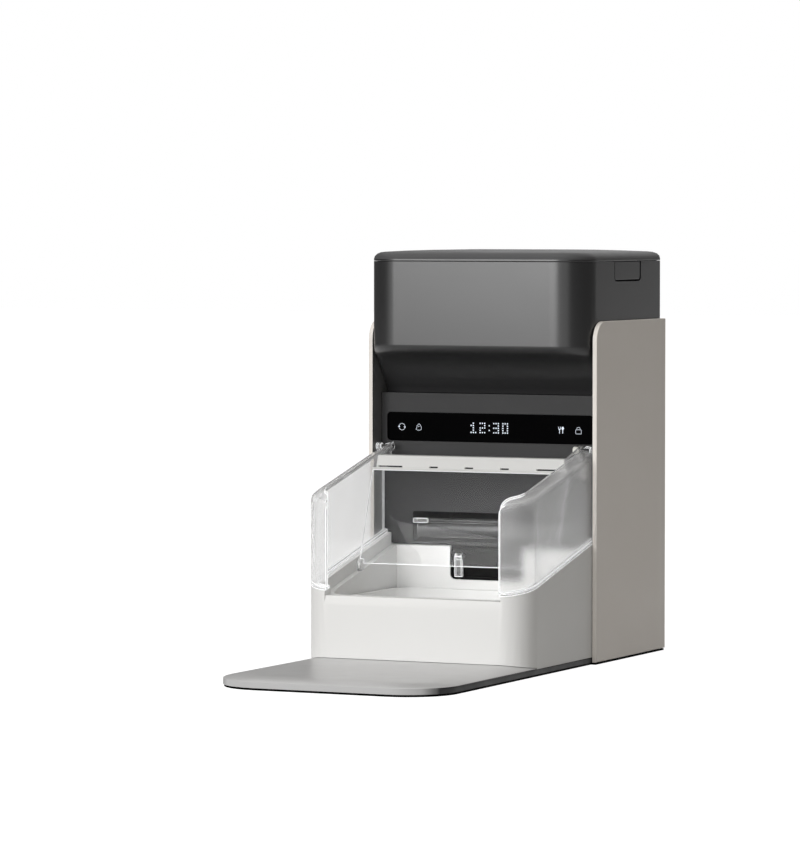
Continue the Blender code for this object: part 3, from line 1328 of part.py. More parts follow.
def make_rotor():
    """Vaned rotor that meters the food, its shaft and its gear."""
    centre = (DRUM_Y, DRUM_AXIS_HEIGHT)
    half = DRUM_HALF - ROTOR_TIP_GAP
    tip = DRUM_RADIUS - ROTOR_TIP_GAP
    outline = []
    vane_half = ROTOR_VANE / 2
    root_angle = math.asin(vane_half / ROTOR_HUB)
    tip_angle = math.asin(vane_half / tip)
    for vane in range(ROTOR_VANES):
        angle = 2 * math.pi * vane / ROTOR_VANES
        gap = 2 * math.pi / ROTOR_VANES
        outline += [(angle - root_angle, ROTOR_HUB), (angle - tip_angle, tip),
                    (angle + tip_angle, tip), (angle + root_angle, ROTOR_HUB),
                    (angle + gap / 2, ROTOR_HUB)]
    rotor = side_prism("dispenser_rotor", polar_outline(centre, outline), -half, half, silicone())
    bore_radius = ROTOR_SHAFT_RADIUS + FIT_GAP
    cut(rotor, cylinder_x("rotor_bore", centre, bore_radius, -DRUM_HALF, DRUM_HALF, 16,
                          cutter=True))
    outer = DRUM_HALF + DRUM_WALL
    gear_left = outer + ROTOR_GEAR_OFFSET
    gear_right = gear_left + ROTOR_GEAR_WIDTH
    shaft = cylinder_x("rotor_shaft", centre, ROTOR_SHAFT_RADIUS, -outer - FIT_GAP, gear_right,
                       16, steel())
    teeth = gear_outline(ROTOR_GEAR_MODULE, ROTOR_GEAR_TEETH, 0.0)
    gear = side_prism("rotor_gear", polar_outline(centre, teeth), gear_left, gear_right,
                      gear_white())
    cut(gear, cylinder_x("rotor_gear_bore", centre, bore_radius, gear_left - CUT_OVERRUN,
                         gear_right + CUT_OVERRUN, 16, cutter=True))
    axis = joint_empty("rotor_axis", (0, *centre))
    for piece in (rotor, shaft, gear):
        set_origin(piece, (0, *centre))
    hang(axis, rotor, shaft, gear)


def make_dispenser_motor():
    """Motor on the frame's right wall, with its pinion in mesh with the rotor's gear."""
    distance = ROTOR_GEAR_MODULE * (ROTOR_GEAR_TEETH + ROTOR_PINION_TEETH) / 2
    centre = (DRUM_Y + distance, DRUM_AXIS_HEIGHT)
    gear_left = DRUM_HALF + DRUM_WALL + ROTOR_GEAR_OFFSET
    gear_right = gear_left + ROTOR_GEAR_WIDTH
    teeth = gear_outline(ROTOR_GEAR_MODULE, ROTOR_PINION_TEETH,
                         math.pi + math.pi / ROTOR_PINION_TEETH)
    pinion = side_prism("motor_pinion", polar_outline(centre, teeth), gear_left, gear_right,
                        gear_white())
    cut(pinion, cylinder_x("motor_pinion_bore", centre, MOTOR_SHAFT_RADIUS + FIT_GAP,
                           gear_left - CUT_OVERRUN, gear_right + CUT_OVERRUN, 12, cutter=True))
    axis = joint_empty("motor_pinion_axis", ((gear_left + gear_right) / 2, *centre))
    set_origin(pinion, ((gear_left + gear_right) / 2, *centre))
    hang(axis, pinion)
    face = gear_right + ROTOR_GEAR_OFFSET
    motor = cylinder_x("dispenser_motor", centre, DISPENSER_MOTOR_RADIUS, face,
                       FRAME_INNER_X - FIT_GAP, 20, steel())
    shaft = cylinder_x("dispenser_motor_shaft", centre, MOTOR_SHAFT_RADIUS, gear_left,
                       face + CUT_OVERRUN, 12, cutter=True)
    return smooth(join(motor, shaft), 30)


# Chute and outlet


def chute_ring(wall, y, x_half, low, high):
    x = x_half - wall
    return [(-x, y, low + wall), (x, y, low + wall), (x, y, high - wall), (-x, y, high - wall)]


def make_chute():
    """Sloped duct from under the drum to the outlet in the fascia."""
    front = FRAME_FRONT_Y
    back = front + CHUTE_REAR_REACH
    wall = CHUTE_WALL
    mouth_low = OUTLET_BOTTOM - wall
    mouth_high = OUTLET_TOP + wall
    mouth_half = OUTLET_HALF + wall
    outer = [chute_ring(0, front, mouth_half, mouth_low, mouth_high),
             chute_ring(0, back, CHUTE_REAR_HALF, CHUTE_REAR_BOTTOM, CHUTE_REAR_TOP)]
    inner = [chute_ring(wall, front - wall, mouth_half, mouth_low, mouth_high),
             chute_ring(wall, front, mouth_half, mouth_low, mouth_high),
             chute_ring(wall, back - wall, CHUTE_REAR_HALF, CHUTE_REAR_BOTTOM, CHUTE_REAR_TOP)]
    chute = loft("outlet_chute", outer, dark())
    space = loft("chute_inside", inner, cutter=True)
    drop = DRUM_OUTLET_HALF + TUB_WALL + ROTOR_TIP_GAP
    x_half = DRUM_HALF + FIT_GAP
    hole = block("chute_inlet", (-x_half, x_half), (DRUM_Y - drop, DRUM_Y + drop),
                 (DRUM_OUTLET_BOTTOM - wall * 2, DRUM_AXIS_HEIGHT), cutter=True)
    rod_hole = cylinder_x("outlet_rod_hole", outlet_rod_centre(), OUTLET_ROD_RADIUS + FIT_GAP,
                          -mouth_half - wall, mouth_half + wall, 10, cutter=True)
    return cut(chute, space, hole, rod_hole)


def outlet_rod_centre():
    return (FRAME_FRONT_Y + OUTLET_ROD_SETBACK, OUTLET_TOP - OUTLET_ROD_DROP)


def make_outlet_flap():
    """Curved flap that hangs in the outlet and swings out as food slides past."""
    y, z = outlet_rod_centre()
    sleeve = OUTLET_ROD_RADIUS + FIT_GAP + OUTLET_FLAP_WALL / 2
    low = z - OUTLET_FLAP_DROP
    wall = OUTLET_FLAP_WALL
    front = []
    last = len(OUTLET_FLAP_BULGE_SHARES) - 1
    for number, share in enumerate(OUTLET_FLAP_BULGE_SHARES):
        height = z - OUTLET_FLAP_DROP * number / last
        front.append((y - wall / 2 - OUTLET_FLAP_BULGE * share, height))
    back = [(point_y + wall, point_z) for point_y, point_z in reversed(front)]
    half = OUTLET_HALF - OUTLET_FLAP_SIDE_GAP
    plate = side_prism("outlet_flap", front + back, -half, half, dark())
    tube = cylinder_x("outlet_flap_tube", (y, z), sleeve, -half, half, 12, cutter=True)
    bore = cylinder_x("outlet_flap_bore", (y, z), OUTLET_ROD_RADIUS + FIT_GAP,
                      -half - CUT_OVERRUN, half + CUT_OVERRUN, 10, cutter=True)
    cut(join(plate, tube), bore)
    axis = joint_empty("outlet_flap_axis", (0, y, z))
    set_origin(plate, (0, y, z))
    hang(axis, plate)
    end = OUTLET_HALF + CHUTE_WALL / 2
    rod = cylinder_x("outlet_flap_rod", (y, z), OUTLET_ROD_RADIUS, -end, end, 10, steel())
    return smooth(plate, 30), rod


def make_hinge_cap():
    """Clear cap over the left end of the outlet flap's hinge."""
    left = -OUTLET_HALF + FIT_GAP
    low = outlet_rod_centre()[1] - HINGE_CAP_DROP - HINGE_CAP_HEIGHT / 2
    outline = rounded((left, left + HINGE_CAP_LENGTH), (low, low + HINGE_CAP_HEIGHT),
                      (HINGE_CAP_HEIGHT / 4,) * 4, steps=2)
    front = FASCIA_Y + FIT_GAP
    return face_prism("outlet_hinge_cap", outline, front, front + HINGE_CAP_THICKNESS, clear())


# Pocket and latch in the trough's back wall


def make_latch_pocket():
    """Black recess set into the back wall of the trough."""
    left = POCKET_OFFSET - POCKET_HALF
    right = POCKET_OFFSET + POCKET_HALF
    radius = POCKET_CORNER_RADIUS
    wall = POCKET_WALL
    outline = rounded((left, right), (POCKET_BOTTOM, POCKET_TOP), (radius,) * 4)
    pocket = face_prism("latch_pocket", outline, FASCIA_Y, FASCIA_Y + POCKET_DEPTH, glossy_black())
    inner = rounded((left + wall, right - wall), (POCKET_BOTTOM + wall, POCKET_TOP - wall),
                    (radius - wall,) * 4, steps=3)
    inside = face_prism("pocket_inside", inner, FASCIA_Y - CUT_OVERRUN,
                        FASCIA_Y + POCKET_DEPTH - wall, cutter=True)
    y, z = latch_lever_axis()
    lever_left, lever_right = lever_span()
    ear_left = lever_right + FIT_GAP
    reach = LATCH_LEVER_KNOB - FIT_GAP
    depth = (y - reach, FASCIA_Y + POCKET_DEPTH - wall / 2)
    ears = [block(f"latch_ear_{number}", span, depth, (z - reach, z + reach), cutter=True)
            for number, span in enumerate(((left + wall / 2, lever_left - FIT_GAP),
                                           (ear_left, ear_left + wall)))]
    hole = cylinder_x("latch_pin_hole", (y, z), LATCH_LEVER_PIN + FIT_GAP, left + wall / 2,
                      ear_left + wall * 2, 10, cutter=True)
    return cut(join(cut(pocket, inside), *ears), hole)


def latch_lever_axis():
    return (FASCIA_Y + LATCH_LEVER_KNOB,
            POCKET_TOP - POCKET_WALL - LATCH_LEVER_KNOB - LATCH_LEVER_DROP)


def lever_span():
    left = POCKET_OFFSET - POCKET_HALF + LATCH_LEVER_INSET
    return left, left + LATCH_LEVER_WIDTH


def make_bowl_latch():
    y, z = latch_lever_axis()
    left, right = lever_span()
    front = y - LATCH_LEVER_KNOB
    lever = side_prism("bowl_latch", [
        (front, z - LATCH_LEVER_LENGTH), (front + LATCH_LEVER_THICKNESS, z - LATCH_LEVER_LENGTH),
        (front + LATCH_LEVER_THICKNESS, z), (front, z)], left, right, clear())
    knob = cylinder_x("bowl_latch_knob", (y, z), LATCH_LEVER_HUB, left, right, 12, cutter=True)
    bore = cylinder_x("bowl_latch_bore", (y, z), LATCH_LEVER_PIN + FIT_GAP, left - CUT_OVERRUN,
                      right + CUT_OVERRUN, 10, cutter=True)
    cut(join(lever, knob), bore)
    axis = joint_empty("bowl_latch_axis", ((left + right) / 2, y, z))
    set_origin(lever, ((left + right) / 2, y, z))
    hang(axis, lever)
    pin = cylinder_x("bowl_latch_pin", (y, z), LATCH_LEVER_PIN, left - POCKET_WALL,
                     right + POCKET_WALL, 10, steel())
    return lever, pin


# Inner frame, back cover and what they carry


def screw_places():
    side = FRAME_INNER_X - SCREW_BOSS
    low = TRAY_BOTTOM + SCREW_INSET
    high = FASCIA_TOP - SCREW_INSET
    return [(x, z) for x in (-side, side) for z in (low, high)]


def make_frame():
    """Box frame between the fascia and the rear cover, with a deck under the hopper."""
    side = BODY_HALF - FIT_GAP
    frame = block("body_frame", (-side, side), (FRAME_FRONT_Y, FRAME_BACK_Y),
                  (TRAY_BOTTOM, FASCIA_TOP), dark())
    inside = block("frame_inside", (-FRAME_INNER_X, FRAME_INNER_X),
                   (FRAME_FRONT_Y - CUT_OVERRUN, FRAME_BACK_Y + CUT_OVERRUN),
                   (TRAY_BOTTOM + FRAME_WALL, FASCIA_TOP - FRAME_WALL), cutter=True)
    hole_half = DRUM_INLET_HALF + DECK_HOLE_MARGIN
    deck = block("frame_deck_hole", (-DECK_HOLE_HALF, DECK_HOLE_HALF),
                 (DRUM_Y - hole_half, DRUM_Y + hole_half),
                 (FASCIA_TOP - FRAME_WALL - CUT_OVERRUN, FASCIA_TOP + CUT_OVERRUN), cutter=True)
    cut(frame, inside, deck)
    for number, (x, z) in enumerate(screw_places()):
        out = math.copysign(SCREW_BOSS + FRAME_WALL / 2, x)
        span = sorted((x - math.copysign(SCREW_BOSS, x), x + out))
        boss = block(f"screw_boss_{number}", span, (FRAME_BACK_Y - SCREW_LENGTH, FRAME_BACK_Y),
                     (z - SCREW_BOSS, z + SCREW_BOSS), cutter=True)
        hole = cylinder_y(f"screw_hole_{number}", (x, z), SCREW_RADIUS + FIT_GAP,
                          FRAME_BACK_Y - SCREW_LENGTH - CUT_OVERRUN, FRAME_BACK_Y + CUT_OVERRUN,
                          10, cutter=True)
        cut(join(frame, boss), hole)
    return frame


def bay_span():
    half = CELL_SPACING + CELL_RADIUS + BAY_CLEARANCE
    low = TRAY_BOTTOM + FRAME_WALL + FIT_GAP
    high = low + CELL_LENGTH + CELL_NUB_HEIGHT + 2 * BAY_CLEARANCE + 2 * BAY_WALL
    return half, low, high


def door_outline(inset):
    half, low, high = bay_span()
    margin = BAY_WALL + inset
    return rounded((-half + margin, half - margin), (low + margin, high - margin),
                   (DOOR_CORNER_RADIUS,) * 4, steps=3)


def socket_place():
    return SOCKET_OFFSET, TRAY_BOTTOM + SOCKET_RISE


def make_rear_cover():
    side = BODY_HALF - FIT_GAP
    front = REAR_COVER_Y
    back = REAR_COVER_BACK_Y
    outer = back + CUT_OVERRUN
    cover = face_prism("rear_cover", rounded((-side, side), (TRAY_BOTTOM, FASCIA_TOP),
                                             (PANEL_EDGE_ROUND,) * 4, steps=2),
                       front, back, charcoal())
    door_hole = face_prism("door_hole", door_outline(0), front - CUT_OVERRUN, outer, cutter=True)
    x, z = socket_place()
    socket_hole = face_prism("socket_hole", socket_outline(x, z, SOCKET_WALL + FIT_GAP),
                             front - CUT_OVERRUN, outer, cutter=True)
    cut(cover, door_hole, socket_hole)
    for number in range(VENT_COUNT):
        middle = TRAY_BOTTOM + SPEAKER_RISE + (number - (VENT_COUNT - 1) / 2) * VENT_PITCH
        vent = block(f"vent_{number}", (-SPEAKER_OFFSET - VENT_LENGTH / 2,
                                        -SPEAKER_OFFSET + VENT_LENGTH / 2),
                     (front - CUT_OVERRUN, outer),
                     (middle - VENT_HEIGHT / 2, middle + VENT_HEIGHT / 2), cutter=True)
        cut(cover, vent)
    for number, (x, z) in enumerate(screw_places()):
        hole = cylinder_y(f"cover_hole_{number}", (x, z), SCREW_RADIUS + FIT_GAP,
                          front - CUT_OVERRUN, outer, 10, cutter=True)
        seat = cylinder_y(f"cover_seat_{number}", (x, z), SCREW_HEAD_RADIUS + FIT_GAP,
                          back - SCREW_HEAD_HEIGHT, outer, 12, cutter=True)
        cut(cover, hole, seat)
    return cover


def make_screws():
    back = REAR_COVER_BACK_Y
    screws = []
    for number, (x, z) in enumerate(screw_places(), start=1):
        head = cylinder_y(f"rear_screw_{number}", (x, z), SCREW_HEAD_RADIUS,
                          back - SCREW_HEAD_HEIGHT + FIT_GAP, back, 12, steel())
        shank = cylinder_y(f"screw_shank_{number}", (x, z), SCREW_RADIUS,
                           back - SCREW_LENGTH, back - SCREW_HEAD_HEIGHT / 2, 10, cutter=True)
        cross = block(f"screw_recess_{number}", (x - SCREW_RADIUS, x + SCREW_RADIUS),
                      (back - SCREW_HEAD_HEIGHT / 2, back + CUT_OVERRUN),
                      (z - SCREW_RADIUS / 3, z + SCREW_RADIUS / 3), cutter=True)
        screws.append(cut(join(head, shank), cross))
    return screws


def make_batteries():
    """Open bay behind the door, with three standing cells as backup power."""
    half, low, high = bay_span()
    back = REAR_COVER_Y - FIT_GAP
    cell_y = back - BAY_CLEARANCE - CELL_RADIUS
    front = cell_y - CELL_RADIUS - BAY_CLEARANCE
    bay = block("battery_box", (-half - BAY_WALL, half + BAY_WALL), (front - BAY_WALL, back),
                (low, high), dark())
    inside = block("bay_inside", (-half, half), (front, back + CUT_OVERRUN),
                   (low + BAY_WALL, high - BAY_WALL), cutter=True)
    cut(bay, inside)
    cell_low = low + BAY_WALL + FIT_GAP
    for name, number in (("battery_left", -1), ("battery_middle", 0), ("battery_right", 1)):
        centre = (number * CELL_SPACING, cell_y)
        cell = cylinder_z(name, centre, CELL_RADIUS, cell_low, cell_low + CELL_LENGTH, 20,
                          cell_wrap())
        nub = cylinder_z(name + "_nub", centre, CELL_NUB_RADIUS, cell_low + CELL_LENGTH / 2,
                         cell_low + CELL_LENGTH + CELL_NUB_HEIGHT, 12, cutter=True)
        smooth(join(cell, nub), 30)
    return bay


def make_battery_door():
    """Push-in door of the battery bay, flush with the rear cover."""
    back = REAR_COVER_BACK_Y
    front = back - DOOR_THICKNESS
    door = face_prism("battery_door", door_outline(FIT_GAP), front, back, charcoal())
    half, low, high = bay_span()
    grip = block("door_grip", (-DOOR_MARGIN * 2, DOOR_MARGIN * 2),
                 (back - DOOR_THICKNESS / 2, back + CUT_OVERRUN),
                 (high - BAY_WALL - DOOR_MARGIN * 2, high - BAY_WALL - DOOR_MARGIN), cutter=True)
    cut(door, grip)
    place = (0, front, (low + high) / 2)
    axis = joint_empty("battery_door_axis", place)
    set_origin(door, place)
    hang(axis, door)
    return door


def socket_outline(x, z, grow):
    half = SOCKET_WIDTH / 2 + grow
    rise = SOCKET_HEIGHT / 2 + grow
    return rounded((x - half, x + half), (z - rise, z + rise), (rise * SOCKET_ROUND_SHARE,) * 4,
                   steps=3)


def make_socket():
    x, z = socket_place()
    back = REAR_COVER_BACK_Y - FIT_GAP
    socket = face_prism("power_socket", socket_outline(x, z, SOCKET_WALL), back - SOCKET_DEPTH,
                        back, steel())
    inside = face_prism("socket_inside", socket_outline(x, z, 0), back - SOCKET_DEPTH + SOCKET_WALL,
                        back + CUT_OVERRUN, cutter=True)
    return cut(socket, inside)


def make_speaker():
    centre = (-SPEAKER_OFFSET, TRAY_BOTTOM + SPEAKER_RISE)
    back = REAR_COVER_Y - FIT_GAP
    speaker = cylinder_y("speaker", centre, SPEAKER_RADIUS, back - SPEAKER_DEPTH, back, 20, dark())
    magnet = cylinder_y("speaker_magnet", centre, SPEAKER_RADIUS / 2,
                        back - SPEAKER_MAGNET_DEPTH, back - SPEAKER_DEPTH / 2, 16, cutter=True)
    return join(speaker, magnet)


def make_main_board():
    middle = (FRAME_FRONT_Y + FRAME_BACK_Y) / 2
    left = -FRAME_INNER_X + FIT_GAP
    return block("main_board", (left, left + BOARD_THICKNESS),
                 (middle - MAIN_BOARD_LENGTH / 2, middle + MAIN_BOARD_LENGTH / 2),
                 (MAIN_BOARD_RISE, MAIN_BOARD_RISE + MAIN_BOARD_HEIGHT), green_board())


def make_coil():
    """Tag reader loop on the base, round the bowl."""
    low = TRAY_BOTTOM
    side = TROUGH_HALF - COIL_INSET
    front = PLATFORM_BACK_Y + TRAY_WALL + COIL_INSET
    back = FASCIA_Y - TRAY_WALL - COIL_INSET
    coil = block("tag_reader_coil", (-side, side), (front, back), (low, low + COIL_HEIGHT),
                 copper())
    hole = block("coil_hole", (-side + COIL_WIDTH, side - COIL_WIDTH),
                 (front + COIL_WIDTH, back - COIL_WIDTH),
                 (low - CUT_OVERRUN, low + COIL_HEIGHT + CUT_OVERRUN), cutter=True)
    return cut(coil, hole)


def main():
    clear_scene()
    make_mat()
    make_base_plate()
    make_platform()
    make_bowl_housing()
    make_food_bowl()
    make_guard("guard_left", -1)
    make_guard("guard_right", 1)
    make_flap()
    make_flap_pinion()
    make_flap_motor()
    make_side_panel("side_panel_left", -1)
    make_side_panel("side_panel_right", 1)
    make_fascia()
    make_display()
    make_upper_housing()
    make_lid_latch("lid_latch_left", -1)
    make_lid_latch("lid_latch_right", 1)
    make_food_hopper()
    make_lid_group()
    make_drum()
    make_rotor()
    make_dispenser_motor()
    make_chute()
    make_outlet_flap()
    make_hinge_cap()
    make_latch_pocket()
    make_bowl_latch()
    make_frame()
    make_rear_cover()
    make_screws()
    make_batteries()
    make_battery_door()
    make_socket()
    make_speaker()
    make_main_board()
    make_coil()


main()
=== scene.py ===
"""Finish and studio for a tag-reading pet feeder.

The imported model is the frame. Its visible plastic pieces get softened, smoothly
shaded versions, the display gets its lit marks, and every piece its finish.
"""
import json
import math

import bmesh
import bpy
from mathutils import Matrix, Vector

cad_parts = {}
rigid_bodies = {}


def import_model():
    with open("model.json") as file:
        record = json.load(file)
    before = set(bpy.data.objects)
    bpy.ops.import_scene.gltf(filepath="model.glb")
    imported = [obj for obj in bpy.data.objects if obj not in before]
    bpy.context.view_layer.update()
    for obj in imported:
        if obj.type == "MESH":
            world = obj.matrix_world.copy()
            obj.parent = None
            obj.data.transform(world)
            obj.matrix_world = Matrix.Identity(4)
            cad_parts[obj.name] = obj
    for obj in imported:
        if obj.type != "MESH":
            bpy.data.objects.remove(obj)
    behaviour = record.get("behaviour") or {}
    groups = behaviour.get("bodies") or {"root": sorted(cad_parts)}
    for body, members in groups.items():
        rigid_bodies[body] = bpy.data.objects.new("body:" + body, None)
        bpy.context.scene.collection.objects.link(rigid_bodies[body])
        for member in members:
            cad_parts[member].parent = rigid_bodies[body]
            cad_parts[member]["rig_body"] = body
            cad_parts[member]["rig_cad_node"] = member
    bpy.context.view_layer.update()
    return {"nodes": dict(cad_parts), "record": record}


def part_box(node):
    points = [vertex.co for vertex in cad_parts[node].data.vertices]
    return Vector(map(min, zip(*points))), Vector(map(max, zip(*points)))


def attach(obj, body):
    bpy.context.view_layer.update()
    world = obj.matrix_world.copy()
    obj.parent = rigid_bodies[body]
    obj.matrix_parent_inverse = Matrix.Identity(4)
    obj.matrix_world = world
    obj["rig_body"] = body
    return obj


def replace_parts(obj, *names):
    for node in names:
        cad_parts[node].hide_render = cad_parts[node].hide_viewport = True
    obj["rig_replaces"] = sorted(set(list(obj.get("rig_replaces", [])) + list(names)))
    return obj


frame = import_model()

NODE_SLOTS = {part["node"]: part["material_slot"] for part in frame["record"]["subparts"]}

bl_info = {
    "name": "Pet feeder finish",
    "version": (1, 0, 0),
    "blender": (4, 5, 0),
    "location": "View3D > Sidebar > Feeder",
    "description": "Finishes, fine edges, lit display and studio for a pet feeder with a clear flap",
    "category": "Object",
}


# ------------------------------------------------------------------ settings

def colour(name, description, default):
    return bpy.props.FloatVectorProperty(
        name=name, description=description, default=default, subtype="COLOR", size=3, min=0, max=1)


def length(name, description, default):
    return bpy.props.FloatProperty(
        name=name, description=description, default=default, min=0, subtype="DISTANCE",
        unit="LENGTH", precision=5)


def share(name, description, default):
    return bpy.props.FloatProperty(
        name=name, description=description, default=default, min=0, max=1, subtype="FACTOR")


def power(name, description, default):
    return bpy.props.FloatProperty(
        name=name, description=description, default=default, min=0, subtype="POWER", unit="POWER")


class FeederColours(bpy.types.PropertyGroup):
    """Colours of the feeder's finishes."""

    panel: colour("Side panel", "Warm pale plastic of the two side panels", (0.83, 0.785, 0.735))
    panel_inside_grey: colour(
        "Side panel inside", "Grey inner face of the side panels", (0.12, 0.12, 0.12))
    tray: colour("Tray", "White plastic of the tray, bowl and beam", (0.80, 0.80, 0.79))
    # Painted shade: the beam is the tray's white plastic; this dimmer tone darkens it.
    beam: colour("Beam", "Off-white plastic of the flap's beam", (0.62, 0.62, 0.61))
    hopper: colour("Hopper", "Charcoal plastic of the hopper and lid", (0.015, 0.015, 0.0155))
    # Painted light: the neck is one moulding with the hopper; this tone, lighter than the hopper's,
    # lifts the shade in the cove under the overhang.
    neck: colour("Neck", "Darker plastic of the neck under the hopper", (0.028, 0.028, 0.029))
    lid: colour("Lid", "Charcoal plastic of the lid", (0.072, 0.072, 0.074))
    fascia: colour("Fascia", "Dark grey plastic round the display", (0.040, 0.040, 0.041))
    outlet: colour("Outlet flap", "Satin grey of the small flap over the chute", (0.05, 0.05, 0.051))
    frame: colour("Dark plastic", "Dark plastic of the base, back and chute", (0.020, 0.020, 0.021))
    platform: colour("Platform", "Pale grey top of the standing platform", (0.52, 0.52, 0.522))
    # Painted shade: this dark colour is blended onto the platform's faces that turn sideways.
    platform_side_shade: colour("Platform side", "Dark side band of the platform", (0.012, 0.012, 0.0125))
    guard: colour("Guards", "Frosted clear plastic of the guards", (0.93, 0.93, 0.93))
    flap: colour("Flap", "Clear plastic of the flap and its arms", (1.0, 1.0, 1.0))
    # Painted glow: this colour also lights the clear rims, which glow though they are no lamp.
    rim: colour("Clear rims", "Bright rims of the guards and the flap", (0.95, 0.96, 0.97))
    display: colour("Display glass", "Black glass of the display", (0.001, 0.001, 0.0012))
    marks: colour("Display light", "Cool white of the lit marks", (0.80, 0.88, 1.0))
    # Painted shade: near-black tone, darker than the dark plastic, so the catch pocket's recess
    # reads as deep shade.
    pocket: colour("Catch pocket", "Black recess behind the bowl", (0.006, 0.006, 0.006))
    rubber: colour("Rubber", "Black rubber of the mat", (0.003, 0.003, 0.003))
    silicone: colour("Silicone", "Pale silicone of seals, rotor and bumpers", (0.62, 0.62, 0.61))
    steel: colour("Steel", "Steel of pins, screws and motor cases", (0.62, 0.62, 0.63))
    copper: colour("Copper", "Enamelled wire of the reader coil", (0.70, 0.33, 0.17))
    board: colour("Circuit board", "Green lacquer of the boards", (0.02, 0.16, 0.07))
    acetal: colour("Gear plastic", "Natural plastic of the gears", (0.78, 0.77, 0.72))
    cell: colour("Cell sleeve", "Dark sleeve of the three cells", (0.09, 0.11, 0.14))


class FeederSizes(bpy.types.PropertyGroup):
    """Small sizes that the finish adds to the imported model."""

    soft_edge: length("Soft edge", "Width of the rounding on moulded edges", 0.0004)
    fine_edge: length("Fine edge", "Width of the rounding on thin and clear pieces", 0.0002)
    guard_rim: length("Guard rim", "Radius of the bright line along a guard's edges", 0.0003)
    flap_rim: length("Flap rim", "Radius of the bright line along the flap's edges", 0.00018)
    mark_depth: length("Mark depth", "How deep a lit mark goes through the display glass", 0.00018)
    dot_radius: length("Dot radius", "Radius of one lit dot of the digits", 0.00056)
    dot_across: length("Dot spacing across", "Distance between columns of dots", 0.00195)
    dot_up: length("Dot spacing up", "Distance between rows of dots", 0.00181)
    stroke: length("Icon stroke", "Line width of the icons on the display", 0.00026)


class FeederStudio(bpy.types.PropertyGroup):
    """Studio round the feeder."""

    front_power: power("Front lamp", "Power of the large soft lamp in front", 50)
    top_power: power("Top lamp", "Power of the soft lamp overhead", 16)
    surround: share("Surround", "Strength of the even light from all round", 0.34)
    floor_shade: share("Floor", "How pale the floor is in light that reaches the object", 0.30)
    floor_glow: share("Floor white", "What is added to the floor where it is seen", 0.92)


# ------------------------------------------------------------------ helpers

EDGE_SEGMENTS = 2
WELD_DISTANCE = 0.000005


def colours():
    return bpy.context.scene.feeder_colours


def sizes():
    return bpy.context.scene.feeder_sizes


def only(obj):
    """Select one object and make it the active one."""
    if bpy.context.mode != "OBJECT":
        bpy.ops.object.mode_set(mode="OBJECT")
    bpy.ops.object.select_all(action="DESELECT")
    obj.select_set(True)
    bpy.context.view_layer.objects.active = obj
    return obj


def nothing_selected():
    if bpy.context.mode != "OBJECT":
        bpy.ops.object.mode_set(mode="OBJECT")
    bpy.ops.object.select_all(action="DESELECT")


def apply_all(obj):
    only(obj)
    for name in [modifier.name for modifier in obj.modifiers]:
        bpy.ops.object.modifier_apply(modifier=name)


def settle(obj):
    """Put the object's place, turn and size into its mesh."""
    only(obj)
    bpy.ops.object.transform_apply(location=True, rotation=True, scale=True)


def give(obj, material):
    obj.data.materials.clear()
    obj.data.materials.append(material)


def ride_on(obj, body, slot_name, *nodes):
    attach(obj, body)
    if nodes:
        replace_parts(obj, *nodes)


def soften(obj, edge, sharp_from):
    """Round the sharp edges a little and shade the curves smooth."""
    only(obj)
    if edge > 0:
        rounding = obj.modifiers.new("soft_edges", "BEVEL")
        rounding.width = edge
        rounding.segments = EDGE_SEGMENTS
        rounding.limit_method = "ANGLE"
        rounding.angle_limit = math.radians(sharp_from)
        rounding.use_clamp_overlap = True
    apply_all(obj)
    bpy.ops.object.shade_smooth_by_angle(angle=math.radians(sharp_from))
    even = obj.modifiers.new("even_shading", "WEIGHTED_NORMAL")
    even.keep_sharp = True
    apply_all(obj)


def dressed(node, material, edge, sharp_from=34, flat=1.0):
    """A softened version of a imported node, which stands for it on the same body.

    Edges sharper than sharp_from degrees stay sharp or are rounded by edge. Faces that
    meet within flat degrees are merged first; 0 leaves them as packed.
    """
    source = frame["nodes"][node]
    body = source["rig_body"]
    only(source)
    bpy.ops.object.duplicate()
    piece = bpy.context.active_object
    if piece is source:
        raise RuntimeError(f"{node} was not copied")
    piece.name = node + "_finished"
    del piece["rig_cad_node"]
    bpy.ops.object.mode_set(mode="EDIT")
    bpy.ops.mesh.select_all(action="SELECT")
    bpy.ops.mesh.customdata_custom_splitnormals_clear()
    bpy.ops.mesh.remove_doubles(threshold=WELD_DISTANCE)
    if flat:
        bpy.ops.mesh.dissolve_limited(angle_limit=math.radians(flat))
    bpy.ops.object.mode_set(mode="OBJECT")
    give(piece, material)
    soften(piece, edge, sharp_from)
    ride_on(piece, body, NODE_SLOTS[node], node)
    return piece


